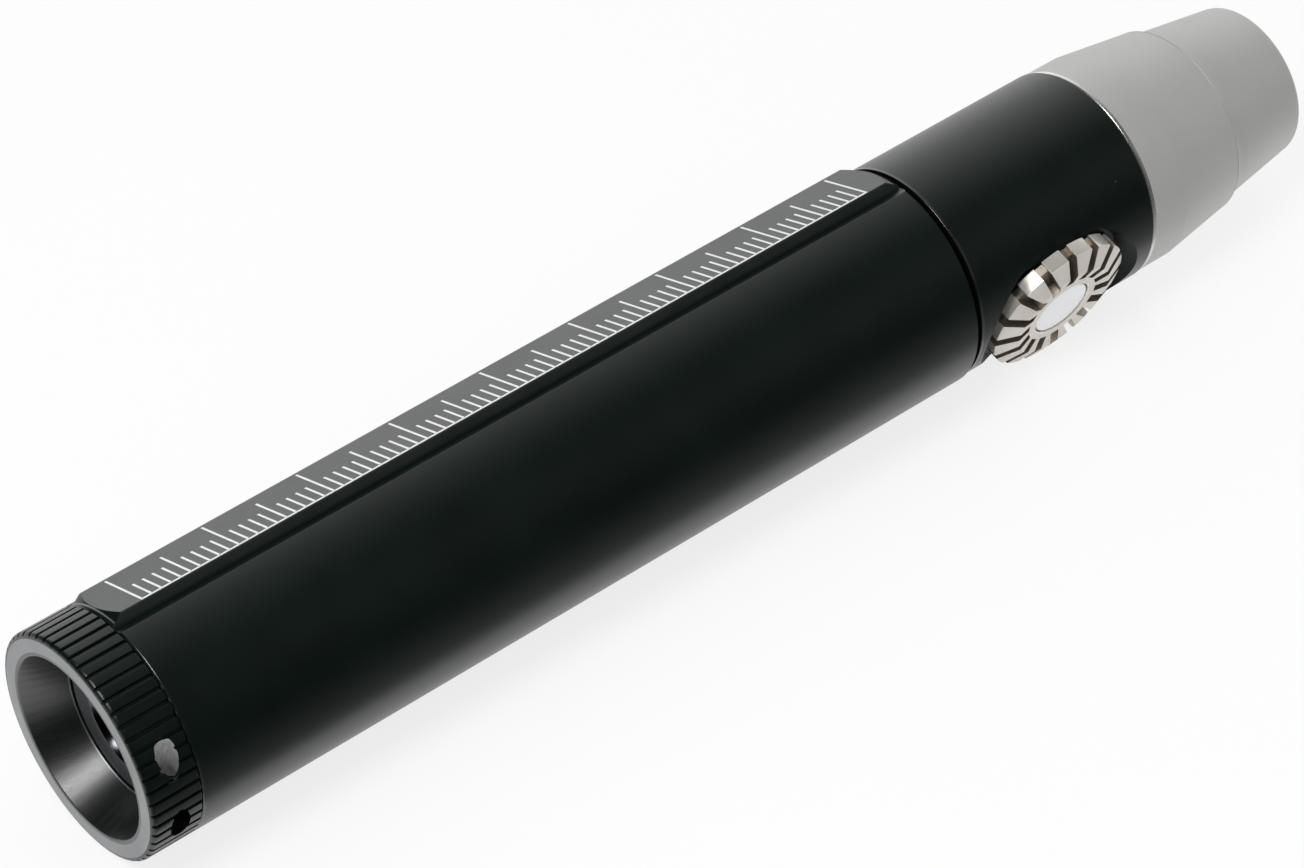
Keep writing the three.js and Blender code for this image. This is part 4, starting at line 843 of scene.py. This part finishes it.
def housing():
    outside = spigot_radius(SOCKET_RADIUS)
    inside = spigot_bore(SOCKET_RADIUS)
    outer, dark, painted_highlight = 0, 1, 2
    body = turned("dial_housing_fine", rounded([
        (HEAD_SPIGOT_END, inside, 0),
        (HEAD_SPIGOT_END, outside, SPIGOT_ROUND),
        *seal_groove(HEAD_SEAL, SOCKET_RADIUS),
        # The housing's front face, in the joint, has the near-black finish, a painted shade.
        (HEAD_FRONT, outside, 0, dark),
        (HEAD_FRONT, HEAD_RADIUS - HEAD_EDGE, HEAD_FRONT_ROUND, dark),
        # The rounded front edge has the edge finish, a painted highlight.
        (HEAD_FRONT + HEAD_EDGE, HEAD_RADIUS, HEAD_EDGE_ROUND, painted_highlight),
        (HEAD_FRONT + 2 * HEAD_EDGE, HEAD_RADIUS, 0, outer),
        (HEAD_REAR, HEAD_RADIUS, HEAD_REAR_ROUND),
        (HEAD_REAR, TAIL_SOCKET_RADIUS, 0),
        (TAIL_SOCKET_FRONT, TAIL_SOCKET_RADIUS, 0),
        (TAIL_SOCKET_FRONT, HEAD_BORE_RADIUS, 0),
        (HEAD_SHOULDER_X, HEAD_BORE_RADIUS, 0),
        (HEAD_SHOULDER_X, inside, 0),
    ]), [FINISHES["black_anodised"], HOLLOW_SHADE_FINISH, EDGE_HIGHLIGHT_FINISH])
    slope = (POCKET_RIM_RADIUS - POCKET_FLOOR_RADIUS) / POCKET_DEPTH
    top = HEAD_RADIUS + OVERCUT
    pocket = turned("pocket", rounded([
        (0, 0, 0),
        (0, BUSHING_HOLE_RADIUS, 0),
        (POCKET_FLOOR, BUSHING_HOLE_RADIUS, 0),
        (POCKET_FLOOR, POCKET_FLOOR_RADIUS, POCKET_ROUND),
        (top, POCKET_RIM_RADIUS + slope * OVERCUT, 0),
        (top, 0, 0),
    ]), [POCKET_FINISH])
    pocket.data.transform(ON_DIAL @ X_TO_Z)
    fitted(combined(body, [pocket], "DIFFERENCE"), "head", ["dial_housing"], EDGE)
    thread("head_thread", HEAD_SPIGOT_END + THREAD_LEAD, outside, "head", "black_anodised")


# Dial and button

def slots():
    """What is cut from the knob between its teeth: a slot in its top, with a notch down its side."""
    reach = DIAL_RADIUS + OVERCUT
    floor_radius = DIAL_RADIUS - NOTCH_DEPTH
    floor_level = DIAL_RIM - SLOT_DEPTH
    outline = [
        (SLOT_END_RADIUS, floor_level),
        (floor_radius, floor_level),
        (floor_radius, DIAL_BASE - OVERCUT),
        (reach, DIAL_BASE - OVERCUT),
        (reach, DIAL_KNEE + OVERCUT),
        (SLOT_END_RADIUS, DIAL_KNEE + OVERCUT),
    ]

    def build(shape):
        for i in range(DIAL_TEETH):
            turn = Matrix.Rotation(math.radians(DIAL_PHASE) + 2 * math.pi * i / DIAL_TEETH, 4, "Z")
            prism(shape, [
                [turn @ Vector((r, side, w)) for r, w in outline]
                for side in (-SLOT_WIDTH / 2, SLOT_WIDTH / 2)
            ])
    # The slots carry the darker nickel finish into the knob, a painted shade.
    return mesh_object("slots", build, [SLOT_SHADE_FINISH])


def dial():
    well_floor = DIAL_TOP - BUTTON_WELL
    side, satin = 0, 1
    knob = turned("dial_knob_fine", rounded([
        (DIAL_BASE, DIAL_BORE_RADIUS, 0, side),
        (DIAL_BASE, DIAL_RADIUS, DIAL_BASE_ROUND, side),
        (DIAL_RIM, DIAL_RADIUS, DIAL_RIM_ROUND, satin),
        (DIAL_KNEE, DIAL_KNEE_RADIUS, DIAL_KNEE_ROUND, satin),
        (DIAL_TOP, DIAL_HUB_RADIUS, DIAL_HUB_ROUND, satin),
        (DIAL_TOP, WELL_RADIUS, WELL_ROUND, side),
        (well_floor, WELL_RADIUS, 0, side),
        (well_floor, DIAL_BORE_RADIUS, 0, side),
    ]), [FINISHES["nickel"], DIAL_TOP_FINISH])
    knob.data.transform(X_TO_Z)
    fitted(combined(knob, [slots()], "DIFFERENCE"), "dial", ["dial_knob"], EDGE, ON_DIAL)

    top = DIAL_TOP - BUTTON_SETBACK
    base = top - BUTTON_THICKNESS
    cap = turned("dial_button_fine", rounded([
        (base, 0, 0),
        (base, BUTTON_RADIUS, BUTTON_BASE_ROUND),
        (top - BUTTON_RIM_DROP, BUTTON_RADIUS, BUTTON_RIM_ROUND),
        (top, BUTTON_FLAT_RADIUS, BUTTON_FLAT_ROUND),
        (top, 0, 0),
    ]), [FINISHES["white_plastic"]])
    fitted(cap, "button", ["dial_button"], 0, ON_DIAL @ X_TO_Z)


# Tail cone

def tail():
    outside = spigot_radius(TAIL_SOCKET_RADIUS)
    inside = spigot_bore(TAIL_SOCKET_RADIUS)
    neck = [
        (
            TAIL_END_START - TAIL_NECK_LENGTH * math.cos(angle),
            TAIL_TAPER_RADIUS - TAIL_NECK_DROP * math.sin(angle),
            0,
        )
        for angle in (math.pi / 2 * i / NECK_STEPS for i in range(1, NECK_STEPS + 1))
    ]
    blasted, seam = 0, 1
    cone = turned("tail_cone_fine", rounded([
        (TAIL_SPIGOT_END, inside, 0),
        (TAIL_SPIGOT_END, outside, SPIGOT_ROUND),
        *seal_groove(TAIL_SEAL, TAIL_SOCKET_RADIUS),
        (TAIL_FRONT, outside, 0),
        # The front edge takes the lighter seam finish, a painted highlight.
        (TAIL_FRONT, TAIL_COLLAR_RADIUS, TAIL_FRONT_ROUND, seam),
        (TAIL_FRONT + 2 * TAIL_FRONT_ROUND, TAIL_COLLAR_RADIUS, 0, blasted),
        (TAIL_TAPER_START, TAIL_COLLAR_RADIUS, TAIL_COLLAR_ROUND),
        (TAIL_NECK_START - NECK_LINE, TAIL_TAPER_RADIUS, 0),
        (TAIL_NECK_START - NECK_LINE / 2, TAIL_TAPER_RADIUS - NECK_LINE_DEPTH, 0),
        (TAIL_NECK_START, TAIL_TAPER_RADIUS, 0),
        *neck,
        (TAIL_REAR, TAIL_END_RADIUS, TAIL_EDGE),
        (TAIL_REAR, 0, 0),
        (TAIL_REAR - TAIL_FLOOR, 0, 0),
        (TAIL_REAR - TAIL_FLOOR, inside, 0),
    ]), [FINISHES["grey_metal"], SEAM_HIGHLIGHT_FINISH])
    fitted(cone, "tail", ["tail_cone"])
    thread("tail_thread", TAIL_SPIGOT_END + THREAD_LEAD, outside, "tail", "grey_metal")


bezel()
lens()
tube()
ruler()
housing()
dial()
tail()

# Every CAD node has the finish of its own slot.
for part in frame["record"]["subparts"]:
    node = frame["nodes"][part["node"]]
    node.data.materials.clear()
    node.data.materials.append(FINISHES[part["material_slot"]])


# Studio

def seen_directly(tree):
    """One for what the camera, a reflection or glass sees, and nothing for what lights a surface."""
    path = add(tree, "ShaderNodeLightPath", {}, {})
    total = path.outputs["Is Camera Ray"]
    for kind in ("Is Glossy Ray", "Is Transmission Ray"):
        both = add(tree, "ShaderNodeMath", {"operation": "ADD", "use_clamp": True}, {})
        tree.links.new(total, both.inputs[0])
        tree.links.new(path.outputs[kind], both.inputs[1])
        total = both.outputs["Value"]
    return total


def studio_world():
    world = bpy.data.worlds.new("studio")
    bpy.context.scene.world = world
    world.use_nodes = True
    tree = world.node_tree
    tree.nodes.clear()
    strength = add(tree, "ShaderNodeMapRange", {}, {
        "Value": seen_directly(tree), "To Min": WORLD_LIGHT, "To Max": WORLD_SEEN,
    })
    sky = add(tree, "ShaderNodeBackground", {}, {"Strength": strength.outputs["Result"]})
    add(tree, "ShaderNodeOutputWorld", {}, {"Surface": sky.outputs["Background"]})


def floor():
    """Pale paper that shines by itself where it is seen directly, so that it is nearly white."""
    def build(shape):
        bmesh.ops.create_grid(shape, x_segments=FLOOR_CELLS, y_segments=FLOOR_CELLS, size=FLOOR_HALF)
    paper = grained("floor_paper", (0.93, 0.93, 0.93), (0.95, 0.95, 0.95), 40, 2, (0.8, 0.95), 5)
    tree = paper.node_tree
    share = add(tree, "ShaderNodeMapRange", {}, {
        "Value": seen_directly(tree), "To Min": 0.0, "To Max": FLOOR_GLOW,
    })
    glow = add(tree, "ShaderNodeEmission", {}, {"Strength": 1.0})
    both = add(tree, "ShaderNodeMixShader", {}, {"Fac": share.outputs["Result"]})
    tree.links.new(tree.nodes["Principled BSDF"].outputs["BSDF"], both.inputs[1])
    tree.links.new(glow.outputs["Emission"], both.inputs[2])
    tree.links.new(both.outputs["Shader"], tree.nodes["Material Output"].inputs["Surface"])
    mesh_object("floor", build, [paper])


def card_paint():
    """Light that depends on the angle round the card's own X axis and on the place along it."""
    material = bpy.data.materials.new("card")
    material.use_nodes = True
    tree = material.node_tree
    tree.nodes.clear()
    place = add(tree, "ShaderNodeTexCoord", {}, {}).outputs["Object"]
    parts = add(tree, "ShaderNodeSeparateXYZ", {}, {"Vector": place})
    angle = add(tree, "ShaderNodeMath", {"operation": "ARCTAN2"}, {})
    tree.links.new(parts.outputs["Z"], angle.inputs[0])
    tree.links.new(parts.outputs["Y"], angle.inputs[1])
    share = add(tree, "ShaderNodeMapRange", {}, {
        "Value": angle.outputs["Value"],
        "From Min": math.radians(CARD_LOW), "From Max": math.radians(CARD_HIGH),
    })
    along = add(tree, "ShaderNodeMapRange", {}, {
        "Value": parts.outputs["X"], "From Min": CARD_CHANGE[0], "From Max": CARD_CHANGE[1],
    })
    light = add(tree, "ShaderNodeMix", {"data_type": "RGBA"}, {"Factor": along.outputs["Result"]})
    for socket, levels in (("A", CARD_FRONT_LIGHT), ("B", CARD_REAR_LIGHT)):
        stops = [
            ((turn - CARD_LOW) / (CARD_HIGH - CARD_LOW), (level, level, level))
            for turn, level in zip(CARD_TURNS, levels)
        ]
        tree.links.new(ramp(tree, share.outputs["Result"], stops), light.inputs[socket])
    fade = add(tree, "ShaderNodeMapRange", {}, {
        "Value": parts.outputs["X"], "From Min": CARD_FADE[0], "From Max": CARD_FADE[1],
        "To Min": 1.0, "To Max": 0.0,
    })
    glow = add(tree, "ShaderNodeEmission", {}, {
        "Color": light.outputs["Result"], "Strength": fade.outputs["Result"],
    })
    add(tree, "ShaderNodeOutputMaterial", {}, {"Surface": glow.outputs["Emission"]})
    return material


def card():
    """A sheet of light that only reflections see. It bends over the object from the wall behind to the
    camera's side, then runs back along the floor. It is drawn round its own X axis with +Y to the camera's
    side, then turned about."""
    outline = [
        (CARD_RADIUS * math.cos(angle), CARD_RADIUS * math.sin(angle))
        for angle in (math.pi * i / CARD_STEPS for i in range(CARD_STEPS, -1, -1))
    ]
    outline.append((CARD_RADIUS, CARD_LIFT - AXIS.z))
    outline.append((CARD_NEAR, CARD_LIFT - AXIS.z))

    def build(shape):
        ends = [
            [shape.verts.new((x, y, z)) for y, z in outline]
            for x in (-CARD_LENGTH / 2, CARD_LENGTH / 2)
        ]
        for i in range(len(outline) - 1):
            shape.faces.new((ends[0][i], ends[0][i + 1], ends[1][i + 1], ends[1][i]))
    sheet = mesh_object("card", build, [card_paint()])
    sheet.location = AXIS
    sheet.rotation_euler = (0, 0, math.pi)
    sheet.visible_camera = False
    sheet.visible_diffuse = False
    sheet.visible_transmission = False
    sheet.visible_shadow = False


def overhead_lamp():
    light = bpy.data.lights.new("overhead", "AREA")
    light.shape = "DISK"
    light.size = LAMP_SIZE
    light.energy = LAMP_POWER
    lamp = bpy.data.objects.new("overhead", light)
    lamp.location = LAMP_PLACE
    lamp.rotation_euler = (Vector(LAMP_AIM) - Vector(LAMP_PLACE)).to_track_quat("-Z", "Y").to_euler()
    lamp.visible_camera = False
    bpy.context.scene.collection.objects.link(lamp)


def camera():
    lens_data = bpy.data.cameras.new("camera")
    lens_data.sensor_width = SENSOR_WIDTH
    lens_data.lens = FOCAL_PIXELS / PHOTO_WIDTH * SENSOR_WIDTH
    eye = bpy.data.objects.new("camera", lens_data)
    eye.location = CAMERA_PLACE
    eye.rotation_euler = [math.radians(angle) for angle in CAMERA_TURN]
    bpy.context.scene.collection.objects.link(eye)
    bpy.context.scene.camera = eye


studio_world()
floor()
card()
overhead_lamp()
camera()
bpy.context.scene.view_settings.view_transform = "Standard"
